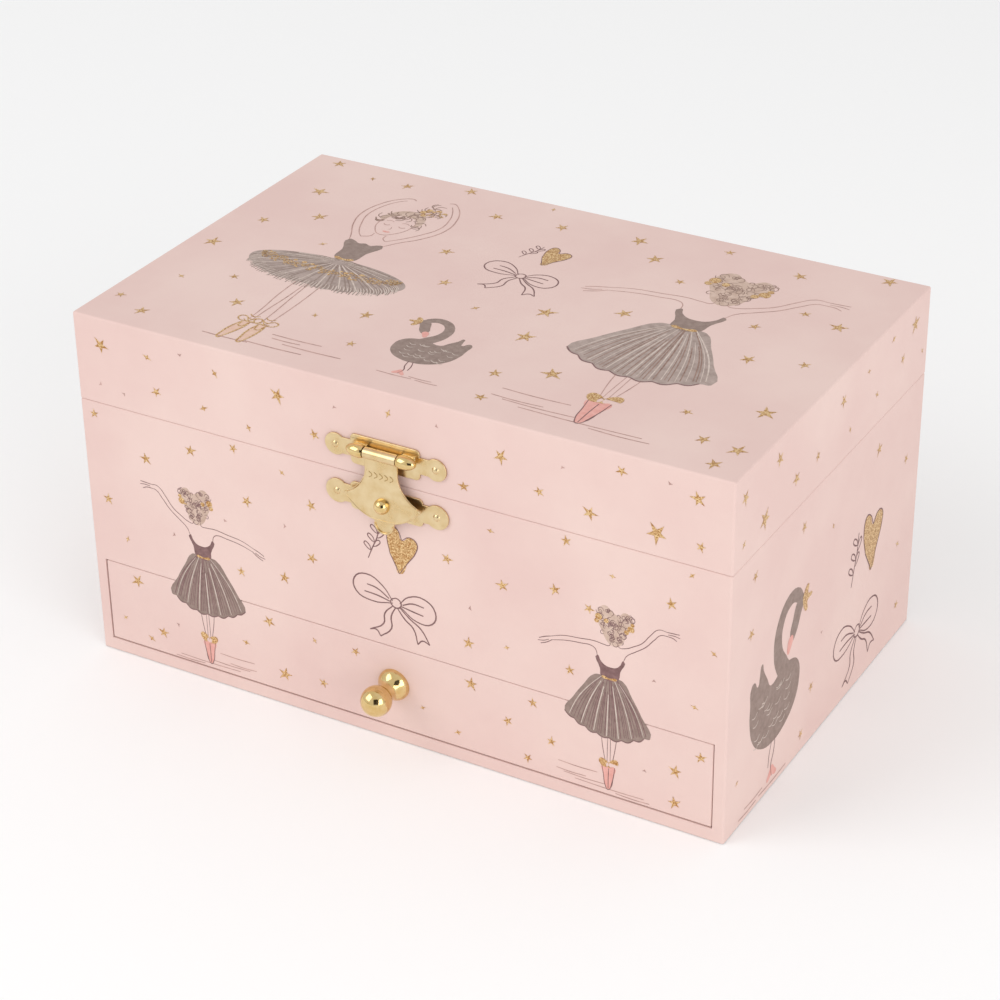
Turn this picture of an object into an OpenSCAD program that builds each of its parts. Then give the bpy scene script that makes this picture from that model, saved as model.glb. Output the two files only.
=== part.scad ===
// Ballerina jewellery box: a paper-covered board case with a hinged lid, a drawer in
// its foot, and a wind-up musical movement that turns a dancer who folds down under
// the lid. Millimetres, +Z up, front towards -Y, origin at the centre of the base.

/* [Box] */
// Width of the box
body_w = 180; // [150:1:240]
// Depth of the box, front to back
body_d = 113; // [108:1:160]
// Height of the closed box
body_h = 97.5; // [96:0.5:140]
// Height of the case's rim, where the lid begins
rim_z = 73.5; // [72:0.5:76]
// Thickness of the wall board
board = 2.7; // [2:0.1:4]
// Thickness of the covering paper
paper = 0.3; // [0.25:0.05:0.5]
// Radius of the box's outer corners
corner_r = 0.8; // [0.4:0.1:0.8]
// Gap between the case's rim and the lid
lid_gap = 0.3; // [0.3:0.05:0.6]
// Thickness of the velvet lining
lining = 0.5; // [0.3:0.1:1]

/* [Drawer] */
// Thickness of the base board
base_board = 3.3; // [2:0.1:4]
// Height of the drawer opening's top edge
deck_z = 27.5; // [24:0.5:30]
// Thickness of the deck board above the drawer
deck_board = 3; // [2:0.1:4]
// Gap round the drawer front
drawer_gap = 0.4; // [0.3:0.05:0.8]
// Length of the drawer behind its front board
drawer_len = 102; // [80:1:102]
// Thickness of the drawer's walls
drawer_board = 2.2; // [1.5:0.1:3]
// Height of the drawer's side walls
drawer_wall_h = 17; // [12:0.5:18]
// Diameter of the knob's ball
knob_d = 7.9; // [6:0.1:12]
// Diameter of the knob's flange
flange_d = 8.6; // [8:0.1:12]
// Length of the knob out of the drawer front
knob_len = 12.4; // [11:0.1:16]
// Height of the knob's centre
knob_z = 16.4; // [14:0.1:17]

/* [Tray] */
// Width of the movement's cover
cover_w = 62; // [62:1:72]
// Thickness of the cover's board
cover_board = 2; // [1.5:0.1:2.5]
// Thickness of the pads in the side compartments
pad_t = 4; // [2:0.5:8]
// Diameter of a ring roll
roll_d = 10; // [8:0.5:12]
// Height of the partitions
partition_h = 28; // [20:1:30]
// Width of the lid's mirror
mirror_w = 132; // [80:1:136]
// Height of the lid's mirror
mirror_h = 84; // [50:1:88]
// Thickness of the mirror glass
mirror_t = 2; // [1.5:0.1:3]

/* [Hinges] */
// Distance of each hinge from the middle
hinge_x = 55; // [45:1:60]
// Width of a hinge leaf
leaf_w = 28; // [24:1:34]
// Height of a hinge leaf
leaf_h = 8; // [6:0.5:10]
// Thickness of the hinge sheet
leaf_t = 0.6; // [0.5:0.1:0.8]
// Radius of the hinge pin
pin_r = 0.6; // [0.5:0.05:0.7]
// Radial clearance of a pin or shaft that turns
run_fit = 0.05; // [0.02:0.01:0.08]

/* [Latch] */
// Distance of a latch nail from the middle
latch_nail_x = 13.8; // [12:0.1:16]
// Height of the lid plate's lobes
latch_top_z = 80.5; // [80:0.1:82]
// Height of the case plate's lobes
latch_low_z = 67.8; // [66:0.1:69]
// Thickness of the latch sheet
latch_t = 0.5; // [0.4:0.05:0.6]
// Height of the hasp's pin
hasp_pin_z = 81.5; // [81:0.1:82.5]
// Distance of the hasp's pin in front of the box
hasp_pin_out = 2.2; // [2.1:0.1:2.6]
// Half width of the hasp's neck
hasp_neck = 4.5; // [4:0.1:4.8]
// Half width of the hasp at its widest
hasp_half = 10.7; // [9:0.1:12]

/* [Movement] */
// Distance of the winding arbor to the right of the middle
arbor_x = 5; // [3:0.5:6]
// Radius of the winding arbor
arbor_r = 1.5; // [1.2:0.1:1.6]
// Teeth of the barrel's crown
crown_n = 24; // [20:1:24]
// Teeth of the cylinder's pinion
pinion_n = 18; // [16:1:20]
// Module of the crown and its pinion
crown_m = 0.8; // [0.7:0.05:0.8]
// Length of the spring barrel
barrel_len = 8.6; // [7:0.1:9]
// Radius of the pinned cylinder
cyl_r = 5.5; // [5:0.1:6]
// Notes in the comb
notes = 18; // [12:1:18]
// Spacing of the comb's teeth
note_pitch = 0.8; // [0.7:0.05:0.8]
// Teeth of the transfer gear
transfer_n = 24; // [22:1:26]
// Teeth of the turntable's gear
table_n = 36; // [34:1:36]
// Teeth of the governor's pinion
governor_n = 8; // [8:1:10]
// Teeth of the governor's worm wheel
worm_n = 20; // [18:1:20]
// Radius of the fly's vanes
vane_r = 5; // [4:0.1:5]

/* [Dancer] */
// Radius of the turntable
table_r = 13; // [8:0.5:15]
// Radius of the tutu
tutu_r = 10.5; // [8:0.5:11]
// Length from the folding point to the fingertips
dancer_len = 47.5; // [38:0.5:47.5]
// Angle that the dancer folds forward under the lid
fold = 75; // [70:1:78]

/* [Hidden] */
$fn = 48;

// Colours of the finishes
pink_paper = "#edcdc6";
grey_board = "#b9a894";
velvet = "#e3b3b4";
pale_gold = "#d9c48a";
steel = "#b9bcc0";
brass = "#c9a85a";

// Box
wall = board + paper;
half_w = body_w / 2;
half_d = body_d / 2;
in_x = half_w - wall;
in_y = half_d - wall;
deck_top = deck_z + deck_board;
lid_z = rim_z + lid_gap;
ceiling_z = body_h - wall;
glue = 0.05;
far = 400;

// Drawer, and the radius of its knob's screw
drawer_x = in_x - drawer_gap;
drawer_z = base_board + drawer_gap;
front_back = -in_y;
drawer_bottom_t = 1.4;
knob_screw_r = 1.2;

// Movement, hung on the back wall above the deck
frame_t = 2.4;
shelf_t = 2;
shelf_top = deck_top + 0.3 + shelf_t;
plate_y = in_y - frame_t;
plate_top = shelf_top + 27.2;
ratchet_t = 0.8;
side_gap = 0.25;
barrel_y1 = plate_y - ratchet_t - 2 * side_gap;
barrel_y0 = barrel_y1 - barrel_len;
crown_h = 1.5;
crown_r = crown_m * crown_n / 2;
barrel_r = crown_r + 1;
pinion_h = 2;
pinion_z = shelf_top + 2.4;
arbor_z = pinion_z + crown_r;
cyl_x = arbor_x;
cyl_y = barrel_y0 - 0.15 - tip_r(pinion_n, crown_m);
cyl_z = shelf_top + 4.7;
cyl_h = notes * note_pitch + 0.6;
cyl_arbor_r = 1.2;
pin_out = 0.45;
bridge_z = cyl_z + cyl_h + 1.3;
bridge_t = 1.4;
gear_z = bridge_z + bridge_t + 0.8;
gear_t = 2.5;
gear_m = 1;
cover_top = gear_z + gear_t + 1.5 + cover_board;
table_y = cyl_y - sqrt(pow(gear_m * (transfer_n + table_n) / 2, 2) - cyl_x * cyl_x);
cover_y0 = table_y - tip_r(table_n, gear_m) - 1.5 - cover_board;
governor_x = cyl_x + gear_m * (transfer_n + governor_n) / 2;
governor_r = 0.8;
worm_m = 0.6;
worm_r = 2;
worm_y = cyl_y - worm_m * worm_n / 2 - worm_r;
worm_z = shelf_top + 12.2;
worm_pitch = PI * worm_m;
fly_shaft_r = 0.6;
vane_x0 = governor_x - 9;
vane_x1 = governor_x - 6.2;
block_x0 = cyl_x - 26;
block_x1 = cyl_x - 18.5;
comb_t = 1;
pillar_y = cyl_y + 9.1;

// Radii of the screws that hold the movement to the back wall, and of its small screws
mount_screw_r = 1.2;
small_r = 0.9;

// Directions of the gear meshes, and the angle of one tooth of each gear
table_dir = atan2(table_y - cyl_y, -cyl_x);
table_phase = mesh_phase(table_dir, table_dir, transfer_n, table_n);
governor_phase = mesh_phase(0, table_dir, transfer_n, governor_n);

// Stop rod, beside the movement under the lid's rear wall
rod_r = 0.6;
rod_x = cover_w / 2 - cover_board - 2.7;
rod_y = plate_y - 1.3;
rod_top = rim_z + 0.8;
arm_z = worm_z + 3;
arm_y = worm_y + 4.9;

// Dancer
disc_z = cover_top + 0.8;
disc_t = 1.4;
pivot_z = disc_z + disc_t + 4;
toe = 4.2;
waist = dancer_len * 0.56;

// Hinges
knuckle_r = pin_r + leaf_t;
hinge_y = half_d + knuckle_r;
hinge_z = rim_z + lid_gap / 2;
knuckles = 5;
knuckle_w = 4.2;
nail_head_r = 0.95;
nail_r = 0.45;

// Latch, on the front
front = -half_d;
hasp_t = 0.6;
hasp_y = front - hasp_pin_out - hasp_t / 2;
curl_r = 1.4;
latch_pin_r = 0.7;
rivet_r = 1;
rivet_z = hasp_pin_z - 13.3;

// Key
key_y = half_d + 1.6;
key_len = 9;
key_half = 9.5;

// Addendum circle of a gear with n teeth of module m
function tip_r(n, m) = m * n / 2 + 0.8 * m;

// Angle of one tooth of a gear that meshes, in direction dir, with a gear of lead_n
// teeth that has a tooth at lead_phase
function mesh_phase(dir, lead_phase, lead_n, n) =
    dir + 180 + 180 / n + (dir - lead_phase) * lead_n / n;

// Block between two opposite corners
module block(low, high) {
    translate(low) cube(high - low);
}

// Flat rectangle with round corners, centred on the origin
module round_rect(w, d, r) {
    square([w - 2 * r, d], center = true);
    square([w, d - 2 * r], center = true);
    for (x = [-1, 1], y = [-1, 1])
        translate([x * (w / 2 - r), y * (d / 2 - r)]) circle(r);
}

// Turns a shape drawn along +Z to point along +Y or along +X
module along_y() {
    rotate([-90, 0, 0]) children();
}
module along_x() {
    rotate([0, 90, 0]) children();
}

// Slotted pan-head screw: head on +Z, shank down -Z
module screw(head_r, head_h, r, length) {
    difference() {
        union() {
            cylinder(r = head_r, h = head_h);
            translate([0, 0, -length]) cylinder(r = r, h = length + 0.1);
        }
        translate([-head_r, -head_r / 8, head_h * 0.55]) cube([2 * head_r, head_r / 4, head_h]);
    }
}

// Domed nail: head on +Z, shank down -Z
module nail() {
    intersection() {
        translate([0, 0, -0.62]) sphere(r = 1.12, $fn = 24);
        cylinder(r = nail_head_r, h = 2);
    }
    translate([0, 0, -2.4]) cylinder(r = nail_r, h = 2.5, $fn = 16);
}

// Spur gear of n teeth of module m, one tooth at angle phase
module gear(n, m, h, bore_r, phase = 0) {
    root_r = m * n / 2 - 1.15 * m;
    pitch = PI * m;
    linear_extrude(h) difference() {
        union() {
            circle(root_r);
            for (i = [0 : n - 1]) rotate(phase + i * 360 / n)
                polygon([
                    [root_r * 0.95, -0.25 * pitch], [tip_r(n, m), -0.11 * pitch],
                    [tip_r(n, m), 0.11 * pitch], [root_r * 0.95, 0.25 * pitch]
                ]);
        }
        circle(bore_r);
    }
}

// ---- Case ----

module case_bottom() {
    color(grey_board)
        block([-in_x, -half_d + paper, 0], [in_x, half_d - paper, base_board]);
}

module case_side() {
    color(grey_board)
        block([in_x, -half_d + paper, 0], [half_w - paper, half_d - paper, rim_z - paper]);
}

module case_left() {
    mirror([1, 0, 0]) case_side();
}

module case_right() {
    case_side();
}

// Holes through the back for the winding arbor and the mounting screws
module back_holes() {
    translate([arbor_x, in_y - 1, arbor_z]) along_y() cylinder(r = arbor_r + 1, h = wall + 2);
    at_mounting_screws() translate([0, 0, -frame_t - wall - 1])
        cylinder(r = mount_screw_r + run_fit, h = frame_t + wall + 2);
}

module case_back() {
    color(grey_board) difference() {
        block([-in_x, in_y, base_board], [in_x, half_d - paper, rim_z - paper]);
        back_holes();
    }
}

module case_front() {
    color(grey_board)
        block([-in_x, -half_d + paper, deck_z], [in_x, -in_y, rim_z - paper]);
}

module deck_board() {
    color(grey_board)
        block([-in_x, -in_y, deck_z], [in_x, in_y, deck_top]);
}

// Printed paper over the case's walls and turned over its rim
module case_wrap() {
    color(pink_paper) difference() {
        linear_extrude(rim_z) round_rect(body_w, body_d, corner_r);
        block([-half_w + paper, -half_d + paper, -1],
              [half_w - paper, half_d - paper, rim_z - paper]);
        block([-in_x, -in_y, 0], [in_x, in_y, far]);
        block([-in_x, -far, base_board], [in_x, 0, deck_z]);
        back_holes();
    }
}

// Velvet on the inside of the case's walls, left off behind the movement's cover
module case_lining() {
    color(velvet) difference() {
        block([-in_x, -in_y, deck_top], [in_x, in_y, rim_z - 2]);
        block([-in_x + lining, -in_y + lining, 0], [in_x - lining, in_y - lining, far]);
        block([-cover_w / 2, 0, 0], [cover_w / 2, far, cover_top]);
    }
}

module tray_pads() {
    color(velvet) for (side = [0, 1]) mirror([side, 0, 0])
        block([cover_w / 2 + 0.3, -in_y + lining + 0.3, deck_top],
              [in_x - lining - 0.3, in_y - lining - 0.3, deck_top + pad_t]);
}

module tray_partitions() {
    color(velvet) for (side = [0, 1]) mirror([side, 0, 0])
        block([cover_w / 2 - cover_board, -in_y + lining, deck_top],
              [cover_w / 2, cover_y0, deck_top + partition_h]);
}

// Padded rolls across the front compartment, on their block
module ring_rolls() {
    depth = cover_y0 + in_y - lining;
    count = floor(depth / (roll_d + 0.4));
    roll_z = deck_top + partition_h - roll_d;
    half_l = cover_w / 2 - cover_board - 0.3;
    color(velvet) {
        block([-half_l, -in_y + lining + 0.3, deck_top], [half_l, cover_y0 - 0.3, roll_z]);
        for (i = [0 : count - 1])
            translate([-half_l, -in_y + lining + (i + 0.5) * depth / count, roll_z])
                along_x() cylinder(r = roll_d / 2, h = 2 * half_l);
    }
}

// ---- Movement cover ----

module movement_cover() {
    color(velvet) difference() {
        block([-cover_w / 2, cover_y0, deck_top], [cover_w / 2, in_y, cover_top]);
        block([-cover_w / 2 + cover_board, cover_y0 + cover_board, 0],
              [cover_w / 2 - cover_board, far, cover_top - cover_board]);
        translate([0, table_y, 0]) cylinder(r = arbor_r + 1.5, h = far);
        translate([rod_x, rod_y, 0]) cylinder(r = rod_r + 0.4, h = far);
    }
}

module cover_bush() {
    color(brass) translate([0, table_y, 0]) difference() {
        union() {
            translate([0, 0, cover_top - cover_board]) cylinder(r = arbor_r + 1.5, h = cover_board);
            translate([0, 0, cover_top]) cylinder(r = arbor_r + 3, h = 0.4);
        }
        translate([0, 0, cover_top - cover_board - 1]) cylinder(r = arbor_r + run_fit, h = 5);
    }
}

// ---- Hinges ----

// Places the children at both hinges, with X along the pin
module at_hinges() {
    for (x = [-1, 1]) translate([x * hinge_x, hinge_y, hinge_z]) children();
}

// Knuckle number i of a hinge
module knuckle(i, up) {
    x0 = (i - knuckles / 2) * knuckle_w + 0.1;
    x1 = x0 + knuckle_w - 0.2;
    reach = (up ? 1 : -1) * (knuckle_r + 0.6);
    translate([x0, 0, 0]) along_x() cylinder(r = knuckle_r, h = x1 - x0);
    block([x0, -knuckle_r, min(0, reach)], [x1, -knuckle_r + leaf_t, max(0, reach)]);
}

module leaf(up) {
    near = knuckle_r + 0.3;
    difference() {
        union() {
            mirror([0, 0, up ? 0 : 1])
                block([-leaf_w / 2, -knuckle_r, near], [leaf_w / 2, -knuckle_r + leaf_t, near + leaf_h]);
            for (i = [up ? 1 : 0 : 2 : knuckles - 1]) knuckle(i, up);
        }
        translate([-leaf_w, 0, 0]) along_x() cylinder(r = pin_r + run_fit, h = 2 * leaf_w);
        at_leaf_nails(up) translate([0, 0, -3]) cylinder(r = nail_r + 0.02, h = 6, $fn = 16);
    }
}

// Places nails in a leaf, head outwards
module at_leaf_nails(up) {
    z = (up ? 1 : -1) * (knuckle_r + 0.3 + leaf_h * 0.6);
    for (x = [-leaf_w / 2 + 3, 0, leaf_w / 2 - 3])
        translate([x, -knuckle_r + leaf_t, z]) along_y() children();
}

// Stop tongue bent out of the case leaf, which the open lid's leaf comes to rest on
module stop_tongue() {
    top = -knuckle_r - 0.3;
    block([-1.2, -knuckle_r, top - leaf_t], [1.2, 4.1, top]);
    block([-1.2, 4.1 - leaf_t, top - leaf_t], [1.2, 4.1, -0.6]);
}

module hinge_case_leaves() {
    color(pale_gold) at_hinges() {
        leaf(false);
        for (x = [-1, 1]) translate([x * (leaf_w / 2 - 1.2), 0, 0]) stop_tongue();
    }
}

module hinge_pins() {
    color(steel) at_hinges()
        translate([-knuckles * knuckle_w / 2, 0, 0]) along_x() cylinder(r = pin_r, h = knuckles * knuckle_w);
}

module case_nails() {
    color(pale_gold) {
        at_hinges() at_leaf_nails(false) nail();
        at_latch_nails(latch_low_z) nail();
    }
}

// ---- Latch ----

// Places the two nails of a latch plate, head outwards
module at_latch_nails(z) {
    for (x = [-1, 1])
        translate([x * latch_nail_x, front - latch_t, z]) rotate([90, 0, 0]) children();
}

// Latch plate with a lobe at each end: drawn in X and Z, standing on the front
module latch_plate(z, lobe_r, centre_w, centre_h) {
    translate([0, front, z]) rotate([90, 0, 0]) linear_extrude(latch_t) difference() {
        union() {
            round_rect(centre_w, centre_h, 1.2);
            square([2 * latch_nail_x, lobe_r * 1.5], center = true);
            for (x = [-1, 1]) translate([x * latch_nail_x, 0]) circle(lobe_r);
        }
        for (x = [-1, 1]) translate([x * latch_nail_x, 0]) circle(nail_r + 0.02, $fn = 16);
    }
}

module latch_case_plate() {
    color(pale_gold) latch_plate(latch_low_z, 3.2, 20, 7.4);
}

module latch_lid_plate() {
    pin_y = front - hasp_pin_out;
    color(pale_gold) difference() {
        union() {
            latch_plate(latch_top_z, 2.9, 19, 8);
            for (x = [-8.3, hasp_neck + 0.3]) {
                length = 8.3 - hasp_neck - 0.3;
                translate([x, pin_y, hasp_pin_z]) along_x() cylinder(r = curl_r, h = length);
                block([x, pin_y, hasp_pin_z - 1], [x + length, front - latch_t / 2, hasp_pin_z + 1]);
            }
        }
        translate([-20, pin_y, hasp_pin_z]) along_x() cylinder(r = latch_pin_r, h = 40);
    }
}

module latch_pin() {
    color(brass) translate([0, front - hasp_pin_out, hasp_pin_z]) {
        translate([-8.3, 0, 0]) along_x() cylinder(r = latch_pin_r, h = 16.6);
        for (x = [-1, 1]) rotate([0, x * 90, 0]) translate([0, 0, 8.3]) intersection() {
            sphere(r = 1.3);
            cylinder(r = 2, h = 2);
        }
    }
}

// Bell-shaped hasp that hangs from the pin over both plates
module hasp() {
    pin_y = front - hasp_pin_out;
    low = hasp_pin_z - 17.9;
    wide = low + 5.8;
    bottom_r = (hasp_half * hasp_half + 5.8 * 5.8) / (2 * 5.8);
    neck_z = hasp_pin_z - 4;
    spread = hasp_half - hasp_neck;
    drop = neck_z - wide;
    flare_r = (spread * spread + drop * drop) / (2 * spread);
    color(pale_gold) difference() {
        union() {
            translate([0, hasp_y + hasp_t, 0]) rotate([90, 0, 0]) linear_extrude(hasp_t) difference() {
                intersection() {
                    translate([0, low + bottom_r]) circle(bottom_r, $fn = 96);
                    union() {
                        translate([-hasp_half, low - 1]) square([2 * hasp_half, neck_z - low + 1]);
                        translate([-hasp_neck, neck_z - 1]) square([2 * hasp_neck, 5]);
                    }
                }
                for (x = [-1, 1])
                    translate([x * (hasp_neck + flare_r), neck_z]) circle(flare_r, $fn = 96);
            }
            translate([-hasp_neck, pin_y, hasp_pin_z]) along_x() cylinder(r = curl_r, h = 2 * hasp_neck);
        }
        translate([-20, pin_y, hasp_pin_z]) along_x() cylinder(r = latch_pin_r + run_fit, h = 40);
        translate([0, 0, rivet_z]) rotate([90, 0, 0]) cylinder(r = rivet_r, h = far);
    }
}

// Dome-headed rivet that holds the thumb tongue to the hasp
module hasp_rivet() {
    dome_r = 2;
    color(pale_gold) translate([0, hasp_y, rivet_z]) rotate([90, 0, 0]) {
        intersection() {
            sphere(r = dome_r);
            cylinder(r = 2 * dome_r, h = 2 * dome_r);
        }
        translate([0, 0, -hasp_t - 0.5]) cylinder(r = rivet_r, h = hasp_t + 0.6);
    }
}

// Thumb tongue behind the hasp, rounded at its tip
module hasp_tongue() {
    tongue_t = 0.5;
    half = 2.75;
    tip_z = hasp_pin_z - 21.3;
    color(pale_gold) translate([0, hasp_y + hasp_t + tongue_t, 0]) rotate([90, 0, 0])
        linear_extrude(tongue_t) difference() {
            union() {
                translate([-half, tip_z + half]) square([2 * half, rivet_z + 3 - tip_z - half]);
                translate([0, tip_z + half]) circle(half);
            }
            translate([0, rivet_z]) circle(rivet_r);
        }
}

// ---- Lid ----

module lid_top() {
    color(grey_board)
        block([-half_w + paper, -half_d + paper, ceiling_z], [half_w - paper, half_d - paper, body_h - paper]);
}

// Four separate walls, butted at the corners with a line of glue between
module lid_walls() {
    low = lid_z + paper;
    color(grey_board) for (side = [0, 1]) {
        mirror([side, 0, 0])
            block([in_x, -half_d + paper, low], [half_w - paper, half_d - paper, ceiling_z]);
        mirror([0, side, 0])
            block([-in_x + glue, in_y, low], [in_x - glue, half_d - paper, ceiling_z]);
    }
}

module lid_wrap() {
    color(pink_paper) difference() {
        translate([0, 0, lid_z]) linear_extrude(body_h - lid_z) round_rect(body_w, body_d, corner_r);
        block([-half_w + paper, -half_d + paper, lid_z + paper],
              [half_w - paper, half_d - paper, body_h - paper]);
        block([-in_x, -in_y, 0], [in_x, in_y, ceiling_z]);
    }
}

module lid_lining() {
    color(velvet) difference() {
        block([-in_x, -in_y, lid_z + 1.5], [in_x, in_y, ceiling_z]);
        block([-in_x + lining, -in_y + lining, 0], [in_x - lining, in_y - lining, ceiling_z - lining]);
        block([rod_x - 3, 0, 0], [rod_x + 3, far, ceiling_z - 10]);
    }
}

module mirror_glass() {
    color("#c8d2d6")
        block([-mirror_w / 2, -mirror_h / 2, ceiling_z - lining - mirror_t],
              [mirror_w / 2, mirror_h / 2, ceiling_z - lining]);
}

module hinge_lid_leaves() {
    color(pale_gold) at_hinges() leaf(true);
}

module lid_nails() {
    color(pale_gold) {
        at_hinges() at_leaf_nails(true) nail();
        at_latch_nails(latch_top_z) nail();
    }
}

// Block on the lid's rear wall that presses the stop rod
module stop_tab() {
    color(velvet)
        block([rod_x - 3, rod_y - 0.9, rod_top + 0.3], [rod_x + 3, in_y, rod_top + 3.2]);
}

// ---- Drawer ----

module drawer_front() {
    color(grey_board) difference() {
        block([-drawer_x + paper, -half_d + paper, drawer_z + paper],
              [drawer_x - paper, front_back - paper, deck_z - drawer_gap - paper]);
        knob_hole();
    }
}

module drawer_wrap() {
    color(pink_paper) difference() {
        block([-drawer_x, -half_d, drawer_z], [drawer_x, front_back, deck_z - drawer_gap]);
        block([-drawer_x + paper, -half_d + paper, drawer_z + paper],
              [drawer_x - paper, front_back - paper, deck_z - drawer_gap - paper]);
        knob_hole();
    }
}

module drawer_walls() {
    floor_z = drawer_z + drawer_bottom_t;
    top = drawer_z + drawer_wall_h;
    back_y = front_back + drawer_len;
    color(velvet) {
        for (side = [0, 1]) mirror([side, 0, 0])
            block([drawer_x - drawer_board, front_back, floor_z], [drawer_x, back_y, top]);
        block([-drawer_x + drawer_board + glue, back_y - drawer_board, floor_z],
              [drawer_x - drawer_board - glue, back_y, top]);
    }
}

module drawer_bottom() {
    color(grey_board)
        block([-drawer_x, front_back, drawer_z],
              [drawer_x, front_back + drawer_len, drawer_z + drawer_bottom_t]);
}

module drawer_pad() {
    color(velvet)
        block([-drawer_x + drawer_board, front_back, drawer_z + drawer_bottom_t],
              [drawer_x - drawer_board, front_back + drawer_len - drawer_board,
               drawer_z + drawer_bottom_t + 1]);
}

module knob_hole() {
    translate([0, -far / 2, knob_z]) along_y() cylinder(r = knob_screw_r + run_fit, h = far);
}

// Turned knob: domed flange, neck and ball
module knob() {
    ball_r = knob_d / 2;
    flange_r = flange_d / 2;
    ball_z = knob_len - ball_r;
    color(pale_gold) translate([0, -half_d, knob_z]) rotate([90, 0, 0]) difference() {
        union() {
            cylinder(r = flange_r, h = 0.8);
            translate([0, 0, 0.8]) intersection() {
                scale(flange_r) translate([0, 0, -0.15]) sphere(r = 1);
                cylinder(r = flange_r, h = 2.4);
            }
            cylinder(r = 2.1, h = ball_z);
            translate([0, 0, ball_z]) sphere(r = ball_r);
        }
        translate([0, 0, -1]) cylinder(r = knob_screw_r, h = 7);
    }
}

module knob_screw() {
    color(steel) translate([0, front_back, knob_z]) rotate([-90, 0, 0])
        screw(2.6, 1.4, knob_screw_r, wall + 5.5);
}

// ---- Movement frame ----

// Places the mounting screws, head out through the back wall
module at_mounting_screws() {
    for (p = [[arbor_x - 23, plate_top - 2.5], [arbor_x + 17.5, plate_top - 2.5], [arbor_x + 15, shelf_top + 3]])
        translate([p[0], half_d, p[1]]) along_y() children();
}

module mounting_screws() {
    color(steel) at_mounting_screws() screw(2.6, 1.3, mount_screw_r, wall + frame_t);
}

// Small screws of the comb, the bridge and the fly bracket
module at_comb_screws() {
    for (z = [cyl_z + 3.5, cyl_z + cyl_h - 3.5])
        translate([block_x0 + 3.5, cyl_y - comb_t / 2, z]) rotate([90, 0, 0]) children();
}
module at_bridge_screws() {
    for (p = [[block_x0 + 3.5, cyl_y + 3.4], [governor_x, pillar_y]])
        translate([p[0], p[1], bridge_z + bridge_t]) children();
}
module at_bracket_screws() {
    for (x = [vane_x0 + 2.5, governor_x + 1.5])
        translate([x, worm_y, shelf_top + 1]) children();
}

module small_holes() {
    translate([0, 0, -3.6]) cylinder(r = small_r, h = 8);
}

module movement_screws() {
    color(steel) {
        at_comb_screws() screw(1.6, 0.9, small_r, 3.4);
        at_bridge_screws() screw(1.6, 0.8, small_r, 3.4);
        at_bracket_screws() screw(1.4, 0.8, small_r, 2.8);
    }
}

// Cast frame: back plate, shelf, comb block and bridge pillar
module movement_frame() {
    x0 = block_x0 - 1;
    x1 = governor_x + 6.7;
    color(steel) difference() {
        union() {
            block([x0, plate_y, shelf_top - shelf_t], [x1, in_y, plate_top]);
            block([x0, worm_y - 3.2, shelf_top - shelf_t], [x1, plate_y + 0.1, shelf_top]);
            block([block_x0, cyl_y + comb_t / 2, shelf_top - 0.1], [block_x1, plate_y + 0.1, bridge_z]);
            translate([governor_x, pillar_y, shelf_top - 0.1]) cylinder(r = 1.6, h = bridge_z - shelf_top + 0.1);
        }
        translate([arbor_x, plate_y - 1, arbor_z]) along_y() cylinder(r = arbor_r + run_fit, h = frame_t + 2);
        translate([cyl_x, cyl_y, 0]) cylinder(r = cyl_arbor_r + run_fit, h = shelf_top + 1);
        translate([governor_x, cyl_y, 0]) cylinder(r = governor_r + run_fit, h = shelf_top + 1);
        at_mounting_screws() translate([0, 0, -frame_t - wall - 1]) cylinder(r = mount_screw_r, h = 20);
        at_comb_screws() small_holes();
        at_bridge_screws() small_holes();
        at_bracket_screws() small_holes();
    }
}

// Steel comb, its teeth longer towards the bass end
module comb() {
    tip_x = cyl_x - cyl_r - pin_out - 0.2;
    root_x = block_x1 + 0.5;
    slot = 0.2;
    color(steel) difference() {
        block([block_x0, cyl_y - comb_t / 2, cyl_z], [tip_x, cyl_y + comb_t / 2, cyl_z + cyl_h]);
        for (i = [0 : notes])
            block([root_x + i * 0.3, cyl_y - comb_t, cyl_z + 0.3 + i * note_pitch - slot / 2],
                  [tip_x + 1, cyl_y + comb_t, cyl_z + 0.3 + i * note_pitch + slot / 2]);
        at_comb_screws() small_holes();
    }
}

// Plate over the cylinder that carries the upper pivots
module bridge() {
    color(brass) difference() {
        union() {
            block([block_x0, cyl_y - 5.5, bridge_z], [governor_x + 6.5, cyl_y + 5.5, bridge_z + bridge_t]);
            block([governor_x - 3.5, cyl_y + 5, bridge_z], [governor_x + 3.5, pillar_y + 2.5, bridge_z + bridge_t]);
        }
        translate([cyl_x, cyl_y, bridge_z - 1]) cylinder(r = cyl_arbor_r + run_fit, h = bridge_t + 2);
        translate([governor_x, cyl_y, bridge_z - 1]) cylinder(r = governor_r + run_fit, h = bridge_t + 2);
        at_bridge_screws() small_holes();
    }
}

// Bent bracket that carries the fly between two uprights
module fly_bracket() {
    x0 = vane_x0 - 1.8;
    x1 = governor_x + 6;
    top = worm_z + 1.8;
    color(brass) difference() {
        union() {
            block([x0, worm_y - 1.6, shelf_top], [x1, worm_y + 1.6, shelf_top + 1]);
            block([x0, worm_y - 1.6, shelf_top], [x0 + 1, worm_y + 1.6, top]);
            block([x1 - 1, worm_y - 1.6, shelf_top], [x1, worm_y + 1.6, top]);
        }
        translate([x0 - 1, worm_y, worm_z]) along_x() cylinder(r = fly_shaft_r + run_fit, h = x1 - x0 + 2);
        at_bracket_screws() small_holes();
    }
}

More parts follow.
